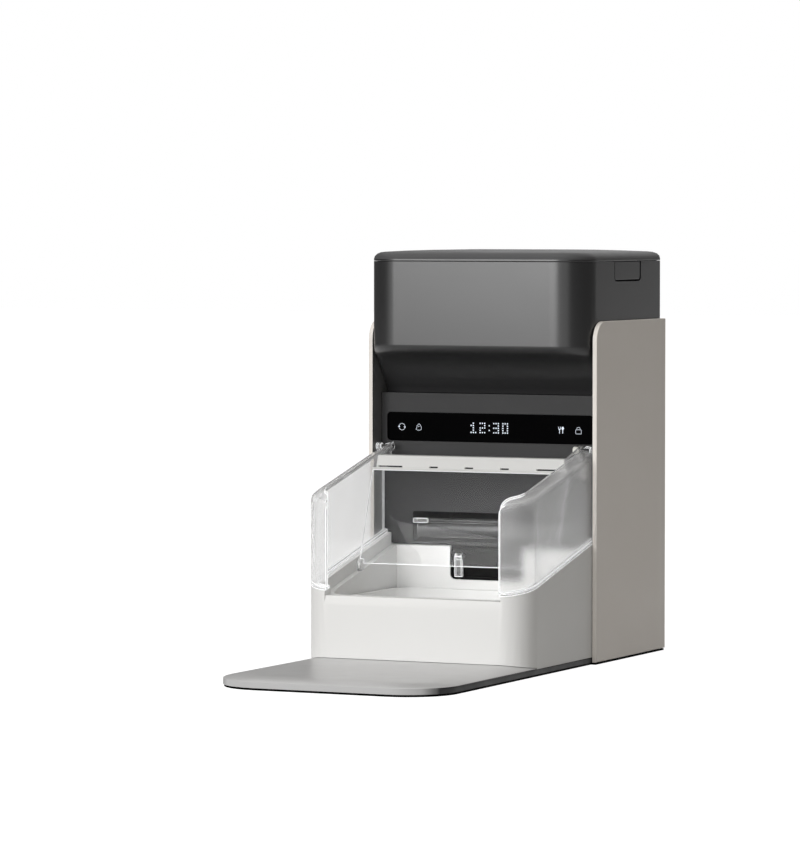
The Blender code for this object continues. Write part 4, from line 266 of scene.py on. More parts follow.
def rims_of(piece, radius, material, sharp_from=50, clear_of=None):
    """Thin tubes along the sharp edges of a finished piece, as a piece that rides with it; in a
    bright finish they are painted highlight lines.

    clear_of is a place (y, z) and a distance round it where no tube runs.
    """
    only(piece)
    bpy.ops.object.duplicate()
    whole = bpy.context.active_object
    del whole["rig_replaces"]
    bpy.ops.object.mode_set(mode="EDIT")
    bpy.ops.mesh.select_mode(type="EDGE")
    bpy.ops.mesh.select_all(action="DESELECT")
    bpy.ops.mesh.edges_select_sharp(sharpness=math.radians(sharp_from))
    if clear_of:
        place, distance = clear_of
        mesh = bmesh.from_edit_mesh(whole.data)
        for edge in mesh.edges:
            if any((Vector(vertex.co.yz) - Vector(place)).length < distance
                   for vertex in edge.verts):
                edge.select_set(False)
        bmesh.update_edit_mesh(whole.data)
    bpy.ops.mesh.duplicate()
    bpy.ops.mesh.separate(type="SELECTED")
    bpy.ops.mesh.select_mode(type="VERT")
    bpy.ops.object.mode_set(mode="OBJECT")
    rims = next(obj for obj in bpy.context.selected_objects if obj is not whole)
    bpy.data.objects.remove(whole)
    only(rims)
    bpy.ops.object.mode_set(mode="EDIT")
    bpy.ops.mesh.select_all(action="SELECT")
    bpy.ops.mesh.delete(type="ONLY_FACE")
    bpy.ops.mesh.select_all(action="SELECT")
    bpy.ops.mesh.remove_doubles(threshold=radius / 2)
    bpy.ops.object.mode_set(mode="OBJECT")
    bpy.ops.object.convert(target="CURVE")
    rims = bpy.context.active_object
    rims.data.bevel_depth = radius
    rims.data.bevel_resolution = 1
    rims.data.use_fill_caps = True
    bpy.ops.object.convert(target="MESH")
    rims = bpy.context.active_object
    rims.name = piece.name.replace("_finished", "_rims")
    bpy.ops.object.shade_smooth_by_angle(angle=math.radians(sharp_from))
    give(rims, material)
    return rims


def finish_below(piece, height, material):
    """Give the faces whose middle is below a height a finish of their own."""
    piece.data.materials.append(material)
    only(piece)
    bpy.ops.object.mode_set(mode="EDIT")
    bpy.ops.mesh.select_mode(type="FACE")
    bpy.ops.mesh.select_all(action="DESELECT")
    mesh = bmesh.from_edit_mesh(piece.data)
    for face in mesh.faces:
        face.select_set(face.calc_center_median().z < height)
    bmesh.update_edit_mesh(piece.data)
    piece.active_material_index = 1
    bpy.ops.object.material_slot_assign()
    bpy.ops.mesh.select_mode(type="VERT")
    bpy.ops.object.mode_set(mode="OBJECT")


def left_as_packed(node, material):
    give(frame["nodes"][node], material)


# ------------------------------------------------------------------ finishes

GRAIN_DEPTH = 0.0002
PANEL_INNER_PLACE = 0.0942
SIDEWAYS_START, SIDEWAYS_END = 0.6, 0.9
# Strength of the painted glow on the clear rims.
RIM_PAINTED_GLOW = 0.35
MARK_GLOW = 0.75
MARK_UNLIT = (0.3, 0.33, 0.36, 1)
# Painted shade: darker bands in the grooves between the wire's turns.
WIRE_PITCH, WIRE_GAP_SHADE = 0.0005, (0.30, 0.12, 0.05)
TRACK_PITCH, TRACK_TONE = 0.0042, (0.03, 0.24, 0.11)
CELL_LENGTH, CELL_BAND_TONE = 0.0605, (0.42, 0.42, 0.43)


def add_socket(tree, name, kind, way, default=None):
    socket = tree.interface.new_socket(name=name, in_out=way, socket_type=kind)
    if default is not None:
        socket.default_value = default


def moulded_group():
    """Moulded surface: fine grain, slow colour drift and soft handling marks."""
    name = "moulded_surface"
    if name in bpy.data.node_groups:
        return bpy.data.node_groups[name]
    tree = bpy.data.node_groups.new(name, "ShaderNodeTree")
    add_socket(tree, "Colour", "NodeSocketColor", "INPUT", (0.5, 0.5, 0.5, 1))
    add_socket(tree, "Drift", "NodeSocketFloat", "INPUT", 0.03)
    add_socket(tree, "Grain Fineness", "NodeSocketFloat", "INPUT", 2500.0)
    add_socket(tree, "Smoothest", "NodeSocketFloat", "INPUT", 0.4)
    add_socket(tree, "Roughest", "NodeSocketFloat", "INPUT", 0.5)
    add_socket(tree, "Colour", "NodeSocketColor", "OUTPUT")
    add_socket(tree, "Roughness", "NodeSocketFloat", "OUTPUT")
    add_socket(tree, "Height", "NodeSocketFloat", "OUTPUT")
    nodes, link = tree.nodes, tree.links.new
    start = nodes.new("NodeGroupInput")
    end = nodes.new("NodeGroupOutput")
    place = nodes.new("ShaderNodeTexCoord")
    grain = nodes.new("ShaderNodeTexNoise")
    grain.inputs["Detail"].default_value = 2
    slow = nodes.new("ShaderNodeTexNoise")
    slow.inputs["Scale"].default_value = 9
    slow.inputs["Detail"].default_value = 3
    marks = nodes.new("ShaderNodeTexNoise")
    marks.inputs["Scale"].default_value = 38
    marks.inputs["Detail"].default_value = 5
    marks.inputs["Roughness"].default_value = 0.6
    for noise in (grain, slow, marks):
        link(place.outputs["Object"], noise.inputs["Vector"])
    link(start.outputs["Grain Fineness"], grain.inputs["Scale"])
    spread = nodes.new("ShaderNodeMapRange")
    spread.inputs["From Min"].default_value = 0.3
    spread.inputs["From Max"].default_value = 0.7
    link(marks.outputs["Fac"], spread.inputs["Value"])
    link(start.outputs["Smoothest"], spread.inputs["To Min"])
    link(start.outputs["Roughest"], spread.inputs["To Max"])
    lean = nodes.new("ShaderNodeMath")
    lean.operation = "SUBTRACT"
    lean.inputs[1].default_value = 0.5
    link(slow.outputs["Fac"], lean.inputs[0])
    size = nodes.new("ShaderNodeMath")
    size.operation = "MULTIPLY"
    link(lean.outputs[0], size.inputs[0])
    link(start.outputs["Drift"], size.inputs[1])
    gain = nodes.new("ShaderNodeMath")
    gain.operation = "ADD"
    gain.inputs[1].default_value = 1
    link(size.outputs[0], gain.inputs[0])
    tint = nodes.new("ShaderNodeVectorMath")
    tint.operation = "SCALE"
    link(start.outputs["Colour"], tint.inputs[0])
    link(gain.outputs[0], tint.inputs["Scale"])
    link(tint.outputs["Vector"], end.inputs["Colour"])
    link(spread.outputs["Result"], end.inputs["Roughness"])
    link(grain.outputs["Fac"], end.inputs["Height"])
    return tree


def place_masks_group():
    """Masks from a piece's place and normal: inside the side panels, and turned sideways, which
    carries the platform's painted side shade.
    """
    name = "place_masks"
    if name in bpy.data.node_groups:
        return bpy.data.node_groups[name]
    tree = bpy.data.node_groups.new(name, "ShaderNodeTree")
    add_socket(tree, "Half Width", "NodeSocketFloat", "INPUT", PANEL_INNER_PLACE)
    add_socket(tree, "Turn Start", "NodeSocketFloat", "INPUT", SIDEWAYS_START)
    add_socket(tree, "Turn End", "NodeSocketFloat", "INPUT", SIDEWAYS_END)
    add_socket(tree, "Inside", "NodeSocketFloat", "OUTPUT")
    add_socket(tree, "Sideways", "NodeSocketFloat", "OUTPUT")
    nodes, link = tree.nodes, tree.links.new
    start = nodes.new("NodeGroupInput")
    end = nodes.new("NodeGroupOutput")
    place = nodes.new("ShaderNodeTexCoord")
    split = nodes.new("ShaderNodeSeparateXYZ")
    link(place.outputs["Object"], split.inputs[0])
    across = nodes.new("ShaderNodeMath")
    across.operation = "ABSOLUTE"
    link(split.outputs["X"], across.inputs[0])
    inside = nodes.new("ShaderNodeMath")
    inside.operation = "LESS_THAN"
    link(across.outputs[0], inside.inputs[0])
    link(start.outputs["Half Width"], inside.inputs[1])
    link(inside.outputs[0], end.inputs["Inside"])
    facing = nodes.new("ShaderNodeSeparateXYZ")
    link(place.outputs["Normal"], facing.inputs[0])
    turned = nodes.new("ShaderNodeMath")
    turned.operation = "ABSOLUTE"
    link(facing.outputs["X"], turned.inputs[0])
    ramp = nodes.new("ShaderNodeMapRange")
    ramp.interpolation_type = "SMOOTHSTEP"
    link(turned.outputs[0], ramp.inputs["Value"])
    link(start.outputs["Turn Start"], ramp.inputs["From Min"])
    link(start.outputs["Turn End"], ramp.inputs["From Max"])
    link(ramp.outputs["Result"], end.inputs["Sideways"])
    return tree


def use_group(tree, group, **values):
    node = tree.nodes.new("ShaderNodeGroup")
    node.node_tree = group
    for name, value in values.items():
        node.inputs[name.replace("_", " ")].default_value = value
    return node


def parts_of(material):
    """A finish's node tree, its shader, and what feeds its base colour."""
    tree = material.node_tree
    shader = next(node for node in tree.nodes if node.type == "BSDF_PRINCIPLED")
    links = shader.inputs["Base Color"].links
    return tree, shader, links[0].from_socket if links else None


def new_finish(name):
    material = bpy.data.materials.new(name)
    material.use_nodes = True
    tree, shader, _tone = parts_of(material)
    return material, tree, shader


def plastic(name, tone, smoothest, roughest, fineness=2500.0, bump=0.12, drift=0.04, **plain):
    """Moulded plastic or rubber: tone, gloss and grain vary over the surface."""
    if name in bpy.data.materials:
        return bpy.data.materials[name]
    material, tree, shader = new_finish(name)
    surface = use_group(
        tree, moulded_group(), Colour=(*tone, 1), Drift=drift, Grain_Fineness=fineness,
        Smoothest=smoothest, Roughest=roughest)
    raised = tree.nodes.new("ShaderNodeBump")
    raised.inputs["Strength"].default_value = bump
    raised.inputs["Distance"].default_value = GRAIN_DEPTH
    tree.links.new(surface.outputs["Height"], raised.inputs["Height"])
    tree.links.new(surface.outputs["Colour"], shader.inputs["Base Color"])
    tree.links.new(surface.outputs["Roughness"], shader.inputs["Roughness"])
    tree.links.new(raised.outputs["Normal"], shader.inputs["Normal"])
    for socket, value in plain.items():
        shader.inputs[socket.replace("_", " ")].default_value = value
    material.diffuse_color = (*tone, 1)
    return material


def mix_in(material, mask, second):
    """Blend a second tone into the finish's colour where the mask of place_masks is 1."""
    tree, shader, first = parts_of(material)
    masks = use_group(tree, place_masks_group())
    blend = tree.nodes.new("ShaderNodeMix")
    blend.data_type = "RGBA"
    link = tree.links.new
    link(masks.outputs[mask], blend.inputs["Factor"])
    link(first, blend.inputs[6])
    blend.inputs[7].default_value = (*second, 1)
    link(blend.outputs[2], shader.inputs["Base Color"])


def panel_finish():
    if "side_panel_plastic" in bpy.data.materials:
        return bpy.data.materials["side_panel_plastic"]
    material = plastic(
        "side_panel_plastic", colours().panel, 0.42, 0.52, fineness=1800.0, bump=0.25)
    # The panels' inner faces, where |x| is below PANEL_INNER_PLACE, take a dark grey.
    mix_in(material, "Inside", colours().panel_inside_grey)
    return material


def platform_finish():
    if "platform_plastic" in bpy.data.materials:
        return bpy.data.materials["platform_plastic"]
    material = plastic("platform_plastic", colours().platform, 0.28, 0.36, fineness=3000.0,
                       bump=0.06, Specular_IOR_Level=0.4)
    # Painted shade: faces turned sideways take the dark side colour.
    mix_in(material, "Sideways", colours().platform_side_shade)
    return material


def tray_finish():
    return plastic("tray_plastic", colours().tray, 0.38, 0.46, fineness=3000.0, bump=0.05,
                   drift=0.02, Specular_IOR_Level=0.3)


# Painted shade: a dimmer copy of the tray's white plastic.
def beam_shaded_finish():
    return plastic("beam_plastic", colours().beam, 0.38, 0.46, fineness=3000.0, bump=0.05,
                   drift=0.02, Specular_IOR_Level=0.3)


def hopper_finish():
    return plastic("hopper_plastic", colours().hopper, 0.275, 0.29, fineness=2200.0, bump=0.03,
                   Specular_IOR_Level=0.8)


# Painted light in the shaded cove, with weaker gloss than the hopper's.
def neck_painted_light_finish():
    return plastic("neck_plastic", colours().neck, 0.34, 0.40, fineness=2200.0, bump=0.03,
                   Specular_IOR_Level=0.4)


def lid_finish():
    return plastic("lid_plastic", colours().lid, 0.42, 0.46, fineness=2200.0, bump=0.05,
                   Specular_IOR_Level=0.2)


def fascia_finish():
    return plastic("fascia_plastic", colours().fascia, 0.36, 0.44, fineness=2200.0, bump=0.12,
                   Specular_IOR_Level=0.15)


def flap_grey_finish():
    return plastic("outlet_flap_plastic", colours().outlet, 0.22, 0.28, fineness=2200.0, bump=0.05)


# Painted shade for the recess of the catch pocket.
def pocket_shade_finish():
    return plastic("pocket_black", colours().pocket, 0.5, 0.6, fineness=1500.0, bump=0.1,
                   Specular_IOR_Level=0.1)


def frame_finish():
    return plastic("frame_plastic", colours().frame, 0.45, 0.60, fineness=1500.0, bump=0.25,
                   Specular_IOR_Level=0.35)


def display_finish():
    return plastic("display_glass", colours().display, 0.05, 0.09, fineness=400.0, bump=0.004,
                   drift=0.2, Specular_IOR_Level=0.012)


def rubber_finish():
    return plastic("mat_rubber", colours().rubber, 0.70, 0.85, fineness=900.0, bump=0.6, drift=0.1,
                   Specular_IOR_Level=0.02)


def silicone_finish():
    return plastic("pale_silicone", colours().silicone, 0.45, 0.58, fineness=1200.0, bump=0.15)


def acetal_finish():
    return plastic("gear_plastic", colours().acetal, 0.34, 0.42, fineness=2500.0, bump=0.1)


def clear_finish(name, tone, smoothest, roughest, bend, transmission, shade):
    """Clear plastic that bends light by its refraction index; shade is what its shadow stops."""
    if name in bpy.data.materials:
        return bpy.data.materials[name]
    material, tree, shader = new_finish(name)
    surface = use_group(
        tree, moulded_group(), Colour=(*tone, 1), Drift=0.02, Grain_Fineness=260.0,
        Smoothest=smoothest, Roughest=roughest)
    tree.links.new(surface.outputs["Colour"], shader.inputs["Base Color"])
    tree.links.new(surface.outputs["Roughness"], shader.inputs["Roughness"])
    shader.inputs["IOR"].default_value = bend
    shader.inputs["Transmission Weight"].default_value = transmission
    path = tree.nodes.new("ShaderNodeLightPath")
    passing = tree.nodes.new("ShaderNodeMapRange")
    passing.inputs["To Min"].default_value = 1
    passing.inputs["To Max"].default_value = shade
    tree.links.new(path.outputs["Is Shadow Ray"], passing.inputs["Value"])
    tree.links.new(passing.outputs["Result"], shader.inputs["Alpha"])
    material.diffuse_color = (*tone, 0.4)
    return material


def flap_finish():
    return clear_finish("flap_clear", colours().flap, 0.01, 0.02, 1.2, 1.0, 0.3)


def guard_finish():
    return clear_finish("guard_frosted", colours().guard, 0.22, 0.24, 1.3, 0.87, 0.45)


def painted_glow_rim_finish():
    """Edges of clear plastic with a painted glow, so that they look bright like sheet edges that
    carry light.
    """
    if "clear_rim" in bpy.data.materials:
        return bpy.data.materials["clear_rim"]
    material = plastic("clear_rim", colours().rim, 0.2, 0.3, fineness=800.0, bump=0.02)
    tree, shader, tone = parts_of(material)
    tree.links.new(tone, shader.inputs["Emission Color"])
    shader.inputs["Emission Strength"].default_value = RIM_PAINTED_GLOW
    return material


def brushed_steel():
    """Brushed metal: fine lines along X, seen in its gloss and height."""
    if "brushed_steel" in bpy.data.materials:
        return bpy.data.materials["brushed_steel"]
    material = plastic("brushed_steel", colours().steel, 0.24, 0.36, fineness=3000.0, bump=0.05,
                       Metallic=1.0)
    tree = material.node_tree
    place = tree.nodes.new("ShaderNodeTexCoord")
    stretch = tree.nodes.new("ShaderNodeMapping")
    stretch.inputs["Scale"].default_value = (60, 4000, 4000)
    lines = tree.nodes.new("ShaderNodeTexNoise")
    lines.inputs["Scale"].default_value = 1
    lines.inputs["Detail"].default_value = 2
    tree.links.new(place.outputs["Object"], stretch.inputs["Vector"])
    tree.links.new(stretch.outputs["Vector"], lines.inputs["Vector"])
    raised = next(node for node in tree.nodes if node.type == "BUMP")
    tree.links.new(lines.outputs["Fac"], raised.inputs["Height"])
    return material


def banded(name, tone, second, axis, pitch, share, smoothest, roughest, **plain):
    """A finish with bands of a second tone along one axis: painted shade between wire turns, board
    tracks, cell sleeves.
    """
    if name in bpy.data.materials:
        return bpy.data.materials[name]
    material = plastic(name, tone, smoothest, roughest, **plain)
    tree, shader, first = parts_of(material)
    link = tree.links.new
    place = tree.nodes.new("ShaderNodeTexCoord")
    split = tree.nodes.new("ShaderNodeSeparateXYZ")
    link(place.outputs["Object"], split.inputs[0])
    turn = tree.nodes.new("ShaderNodeMath")
    turn.operation = "WRAP"
    turn.inputs[1].default_value = pitch
    turn.inputs[2].default_value = 0
    link(split.outputs[axis], turn.inputs[0])
    over = tree.nodes.new("ShaderNodeMath")
    over.operation = "LESS_THAN"
    over.inputs[1].default_value = pitch * share
    link(turn.outputs[0], over.inputs[0])
    blend = tree.nodes.new("ShaderNodeMix")
    blend.data_type = "RGBA"
    link(over.outputs[0], blend.inputs["Factor"])
    link(first, blend.inputs[6])
    blend.inputs[7].default_value = (*second, 1)
    link(blend.outputs[2], shader.inputs["Base Color"])
    return material


def copper_finish():
    return banded("copper_winding", colours().copper, WIRE_GAP_SHADE, "Z", WIRE_PITCH, 0.25,
                  0.25, 0.35, Metallic=1.0)


def board_finish():
    return banded("green_board", colours().board, TRACK_TONE, "Z", TRACK_PITCH, 0.3, 0.30, 0.42)


def cell_finish():
    return banded("cell_sleeve", colours().cell, CELL_BAND_TONE, "X", CELL_LENGTH, 0.22,
                  0.22, 0.30)


def mark_light():
    """Lit marks: cool white, a little brighter and dimmer from place to place."""
    if "display_light" in bpy.data.materials:
        return bpy.data.materials["display_light"]
    material, tree, shader = new_finish("display_light")
    surface = use_group(
        tree, moulded_group(), Colour=(*colours().marks, 1), Drift=0.5, Grain_Fineness=900.0,
        Smoothest=0.3, Roughest=0.5)
    tree.links.new(surface.outputs["Colour"], shader.inputs["Emission Color"])
    tree.links.new(surface.outputs["Roughness"], shader.inputs["Roughness"])
    shader.inputs["Base Color"].default_value = MARK_UNLIT
    shader.inputs["Emission Strength"].default_value = MARK_GLOW
    return material


FINISHES = {
    "taupe_plastic": panel_finish, "white_plastic": tray_finish, "charcoal_plastic": hopper_finish,
    "dark_plastic": frame_finish, "pale_grey_platform": platform_finish,
    "clear_plastic": flap_finish, "frosted_plastic": guard_finish, "black_glass": display_finish,
    "black_rubber": rubber_finish, "pale_silicone": silicone_finish, "steel": brushed_steel,
    "copper_wire": copper_finish, "circuit_board": board_finish, "natural_acetal": acetal_finish,
    "cell_sleeve": cell_finish,
}


def finish_of(node):
    return FINISHES[NODE_SLOTS[node]]()


# ------------------------------------------------------------------ lit marks

DIGIT_ROWS = {
    "1": ("010", "110", "010", "010", "111"),
    "2": ("111", "001", "111", "100", "111"),
    "3": ("111", "001", "111", "001", "111"),
    "0": ("111", "101", "101", "101", "111"),
    ":": ("0", "1", "0", "1", "0"),
}
SHOWN_TIME = "12:30"
MARK_HEIGHT = 0.1806
ARROWS_X, PET_X, CUTLERY_X, PADLOCK_X = -0.0755, -0.0607, 0.0611, 0.0759
ICON_HEIGHT = 0.1803
PET_OUTLINE = (
    (0.0, 2.8), (1.5, 1.4), (2.2, -0.3), (2.0, -1.9), (0.9, -2.6), (-1.5, -2.6), (-2.8, -1.5),
    (-2.0, -0.4), (-1.9, 0.6), (-1.4, 1.6))
FORK_OUTLINE = (
    (-0.22, -2.7), (0.22, -2.7), (0.25, 0.0), (0.95, 0.8), (1.0, 2.5), (0.65, 2.5), (0.6, 1.1),
    (0.0, 0.7), (-0.6, 1.1), (-0.65, 2.5), (-1.0, 2.5), (-0.95, 0.8), (-0.25, 0.0))
SPOON_OUTLINE = (
    (-0.25, -2.7), (0.25, -2.7), (0.28, 0.0), (0.95, 0.8), (1.0, 1.7), (0.6, 2.4), (0.0, 2.6),
    (-0.6, 2.4), (-1.0, 1.7), (-0.95, 0.8), (-0.28, 0.0))
PADLOCK_OUTLINE = (
    (-2.0, -2.9), (2.0, -2.9), (2.5, -2.4), (2.5, 0.1), (2.0, 0.6), (-2.0, 0.6), (-2.5, 0.1),
    (-2.5, -2.4))
PET_EYE = ((-0.6, 0.5), (-0.1, 0.9), (0.3, 0.4), (-0.2, 0.0))
ARROW_UP = ((-0.9, -0.2), (0.9, -0.2), (0.0, 1.0))
ARROW_DOWN = ((-0.9, 0.2), (0.0, -1.0), (0.9, 0.2))
ARROWS_RADIUS, ARROW_PLACE, ARROW_GAP = 0.0027, 0.0025, 0.0004
FORK_OFFSET, SPOON_OFFSET = -0.0012, 0.0015
SHACKLE_RADIUS, SHACKLE_RISE, SHACKLE_FOOT = 0.0016, 0.0009, -0.0002
DOT_SIDES = 12
LENS_RIM, LENS_RISE = 0.45, 0.35
MILLIMETRE = 0.001


def display_front():
    low, _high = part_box("display_window")
    return low.y


def deepen(obj):
    """Give a flat mark its depth into the glass, and turn its faces outwards."""
    only(obj)
    bpy.ops.object.mode_set(mode="EDIT")
    bpy.ops.mesh.select_all(action="SELECT")
    bpy.ops.mesh.extrude_region_move(
        TRANSFORM_OT_translate={"value": (0, sizes().mark_depth, 0)})
    bpy.ops.mesh.select_all(action="SELECT")
    bpy.ops.mesh.normals_make_consistent(inside=False)
    bpy.ops.object.mode_set(mode="OBJECT")
    settle(obj)
    return obj


def flat_ring(name, x, z, radius, corners, width, keep):
    """A flat ring facing the front; keep(x, z) says which of its faces stay."""
    nothing_selected()
    bpy.ops.mesh.primitive_circle_add(
        vertices=corners, radius=radius, fill_type="NGON",
        location=(x, display_front() - sizes().mark_depth / 3, z), rotation=(math.pi / 2, 0, 0))
    obj = bpy.context.active_object
    obj.name = name
    bpy.ops.object.mode_set(mode="EDIT")
    bpy.ops.mesh.select_all(action="SELECT")
    bpy.ops.mesh.inset(thickness=width)
    bpy.ops.mesh.delete(type="FACE")
    mesh = bmesh.from_edit_mesh(obj.data)
    bpy.ops.mesh.select_mode(type="FACE")
    bpy.ops.mesh.select_all(action="DESELECT")
    for face in mesh.faces:
        centre = obj.matrix_world @ face.calc_center_median()
        face.select_set(not keep(centre.x - x, centre.z - z))
    bmesh.update_edit_mesh(obj.data)
    bpy.ops.mesh.delete(type="FACE")
    bpy.ops.mesh.select_mode(type="VERT")
    bpy.ops.object.mode_set(mode="OBJECT")
    return deepen(obj)


def flat_outline(name, x, z, outline, hollow=0.0):
    """A flat mark whose corners are pulled to an outline in millimetres, hollowed if asked."""
    nothing_selected()
    bpy.ops.mesh.primitive_circle_add(
        vertices=len(outline), radius=MILLIMETRE, fill_type="NGON",
        location=(x, display_front() - sizes().mark_depth / 3, z), rotation=(math.pi / 2, 0, 0))
    obj = bpy.context.active_object
    obj.name = name
    bpy.ops.object.mode_set(mode="EDIT")
    bpy.ops.mesh.select_mode(type="VERT")
    for index, (across, up) in enumerate(outline):
        bpy.ops.mesh.select_all(action="DESELECT")
        mesh = bmesh.from_edit_mesh(obj.data)
        mesh.verts.ensure_lookup_table()
        corner = mesh.verts[index]
        corner.select_set(True)
        now = obj.matrix_world @ corner.co
        bmesh.update_edit_mesh(obj.data)
        bpy.ops.transform.translate(
            value=(x + across * MILLIMETRE - now.x, 0, z + up * MILLIMETRE - now.z))
    bpy.ops.mesh.select_all(action="SELECT")
    bpy.ops.mesh.normals_make_consistent(inside=False)
    if hollow:
        bpy.ops.mesh.inset(thickness=hollow)
        bpy.ops.mesh.delete(type="FACE")
    bpy.ops.object.mode_set(mode="OBJECT")
    return deepen(obj)


def joined(name, objects):
    nothing_selected()
    for obj in objects:
        obj.select_set(True)
    bpy.context.view_layer.objects.active = objects[0]
    bpy.ops.object.join()
    objects[0].name = name
    return objects[0]


def lit_dot():
    """One dot of the digits: a low round lens facing the front."""
    nothing_selected()
    bpy.ops.mesh.primitive_cylinder_add(
        vertices=DOT_SIDES, radius=sizes().dot_radius, depth=sizes().mark_depth,
        location=(0, display_front(), MARK_HEIGHT), rotation=(math.pi / 2, 0, 0))
    dot = bpy.context.active_object
    bpy.ops.object.mode_set(mode="EDIT")
    bpy.ops.mesh.select_mode(type="FACE")
    bpy.ops.mesh.select_all(action="DESELECT")
    mesh = bmesh.from_edit_mesh(dot.data)
    for face in mesh.faces:
        face.select_set((dot.matrix_world.to_3x3() @ face.normal).y < -0.9)
    bmesh.update_edit_mesh(dot.data)
    bpy.ops.mesh.inset(thickness=sizes().dot_radius * LENS_RIM)
    bpy.ops.transform.translate(value=(0, -sizes().mark_depth * LENS_RISE, 0))
    bpy.ops.mesh.select_mode(type="VERT")
    bpy.ops.object.mode_set(mode="OBJECT")
    settle(dot)
    return dot


def digit_places():
    """Offsets of the lit dots of the shown time, centred on the display."""
    found, column = [], 0
    for sign in SHOWN_TIME:
        rows = DIGIT_ROWS[sign]
        for row, dots in enumerate(rows):
            for across, lit in enumerate(dots):
                if lit == "1":
                    found.append((column + across, len(rows) // 2 - row))
        column += len(rows[0]) + 1
    middle = (column - 2) / 2
    return [((across - middle) * sizes().dot_across, up * sizes().dot_up) for across, up in found]


def shown_digits():
    first = lit_dot()
    dots = []
    for across, up in digit_places():
        only(first)
        bpy.ops.object.duplicate()
        dot = bpy.context.active_object
        bpy.ops.transform.translate(value=(across, 0, up))
        settle(dot)
        dots.append(dot)
    bpy.data.objects.remove(first)
    return joined("display_digits", dots)


def beside_arrows(x, up):
    """Whether a place in the arrows' ring is clear of the gap before an arrowhead."""
    return abs(up - math.copysign(ARROW_GAP, -x)) > ARROW_GAP


def above_shackle_foot(_x, up):
    return up > SHACKLE_FOOT


def shown_icons():
    stroke = sizes().stroke
    z = ICON_HEIGHT
    parts = [
        flat_ring("arrows", ARROWS_X, z, ARROWS_RADIUS, 28, stroke, beside_arrows),
        flat_outline("arrow_left", ARROWS_X - ARROW_PLACE, z + 0.0001, ARROW_UP),
        flat_outline("arrow_right", ARROWS_X + ARROW_PLACE, z - 0.0001, ARROW_DOWN),
        flat_outline("pet", PET_X, z, PET_OUTLINE, stroke),
        flat_outline("pet_eye", PET_X, z, PET_EYE),
        flat_outline("fork", CUTLERY_X + FORK_OFFSET, z, FORK_OUTLINE),
        flat_outline("spoon", CUTLERY_X + SPOON_OFFSET, z, SPOON_OUTLINE),
        flat_outline("padlock", PADLOCK_X, z, PADLOCK_OUTLINE, stroke),
        flat_ring("shackle", PADLOCK_X, z + SHACKLE_RISE, SHACKLE_RADIUS, 20, stroke * 0.9,
                  above_shackle_foot),
    ]
    return joined("display_icons", parts)


# ------------------------------------------------------------------ pieces

NECK_TOP = 0.2455
LID_EDGE = 0.0028


class FEEDER_OT_side_panels(bpy.types.Operator):
    """Give both side panels their softened edges and warm pale plastic"""

    bl_idname = "feeder.side_panels"
    bl_label = "Side panels"

    def execute(self, context):
        for node in ("side_panel_left", "side_panel_right"):
            dressed(node, panel_finish(), 0, sharp_from=40)
        return {"FINISHED"}


class FEEDER_OT_hopper(bpy.types.Operator):
    """Finish the hopper's outer shell and the two latches of its lid"""

    bl_idname = "feeder.hopper"
    bl_label = "Hopper shell and latches"

    def execute(self, context):
        shell = dressed("upper_housing", hopper_finish(), sizes().soft_edge, sharp_from=60,
                        flat=0.2)
        # Faces under the overhang take the neck's painted-light tone.
        finish_below(shell, NECK_TOP, neck_painted_light_finish())
        for node in ("lid_latch_left", "lid_latch_right"):
            dressed(node, hopper_finish(), sizes().soft_edge)
        return {"FINISHED"}


class FEEDER_OT_lid(bpy.types.Operator):
    """Finish the hopper's lid: a satin crown, and an edge with the shell's gloss"""

    bl_idname = "feeder.lid"
    bl_label = "Lid"

    def execute(self, context):
        lid = dressed("hopper_lid", lid_finish(), sizes().soft_edge, sharp_from=60, flat=0.2)
        _low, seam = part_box("upper_housing")
        finish_below(lid, seam.z + LID_EDGE, hopper_finish())
        return {"FINISHED"}


class FEEDER_OT_fascia(bpy.types.Operator):
    """Finish the fascia and the display's glass, and light its marks"""

    bl_idname = "feeder.fascia"
    bl_label = "Fascia and display"

    def execute(self, context):
        dressed("fascia_panel", fascia_finish(), sizes().fine_edge)
        dressed("display_window", display_finish(), sizes().fine_edge)
        for marks in (shown_digits(), shown_icons()):
            give(marks, mark_light())
            ride_on(marks, "base", "white_plastic")
        return {"FINISHED"}


class FEEDER_OT_flap(bpy.types.Operator):
    """Finish the flap: white beam, clear panel, arms, bumpers and pins"""

    bl_idname = "feeder.flap"
    bl_label = "Flap"

    def execute(self, context):
        # The beam takes the dimmer painted-shade copy of the white plastic.
        dressed("flap_beam", beam_shaded_finish(), 0, flat=0)
        rims_of(dressed("flap_panel", flap_finish(), 0), sizes().flap_rim, painted_glow_rim_finish())
        for node in ("flap_arm_left", "flap_arm_right"):
            dressed(node, guard_finish(), 0)
        for node in ("flap_bumper_left", "flap_bumper_right"):
            dressed(node, guard_finish(), sizes().fine_edge)
        for node in ("flap_pin_left", "flap_pin_right"):
            dressed(node, finish_of(node), sizes().fine_edge)
        return {"FINISHED"}


PIVOT_PLACE = (0.0805, 0.165)
PIVOT_CLEARANCE = 0.005


class FEEDER_OT_guards(bpy.types.Operator):
    """Finish the two frosted guards with rounded rims that carry a painted glow"""

    bl_idname = "feeder.guards"
    bl_label = "Guards"

    def execute(self, context):
        for node in ("guard_left", "guard_right"):
            rims_of(dressed(node, guard_finish(), 0), sizes().guard_rim, painted_glow_rim_finish(),
                    clear_of=(PIVOT_PLACE, PIVOT_CLEARANCE))
        return {"FINISHED"}


class FEEDER_OT_tray(bpy.types.Operator):
    """Finish the bowl tray and the food bowl"""

    bl_idname = "feeder.tray"
    bl_label = "Tray and bowl"

    def execute(self, context):
        dressed("bowl_housing", tray_finish(), sizes().soft_edge)
        dressed("food_bowl", tray_finish(), sizes().soft_edge)
        return {"FINISHED"}


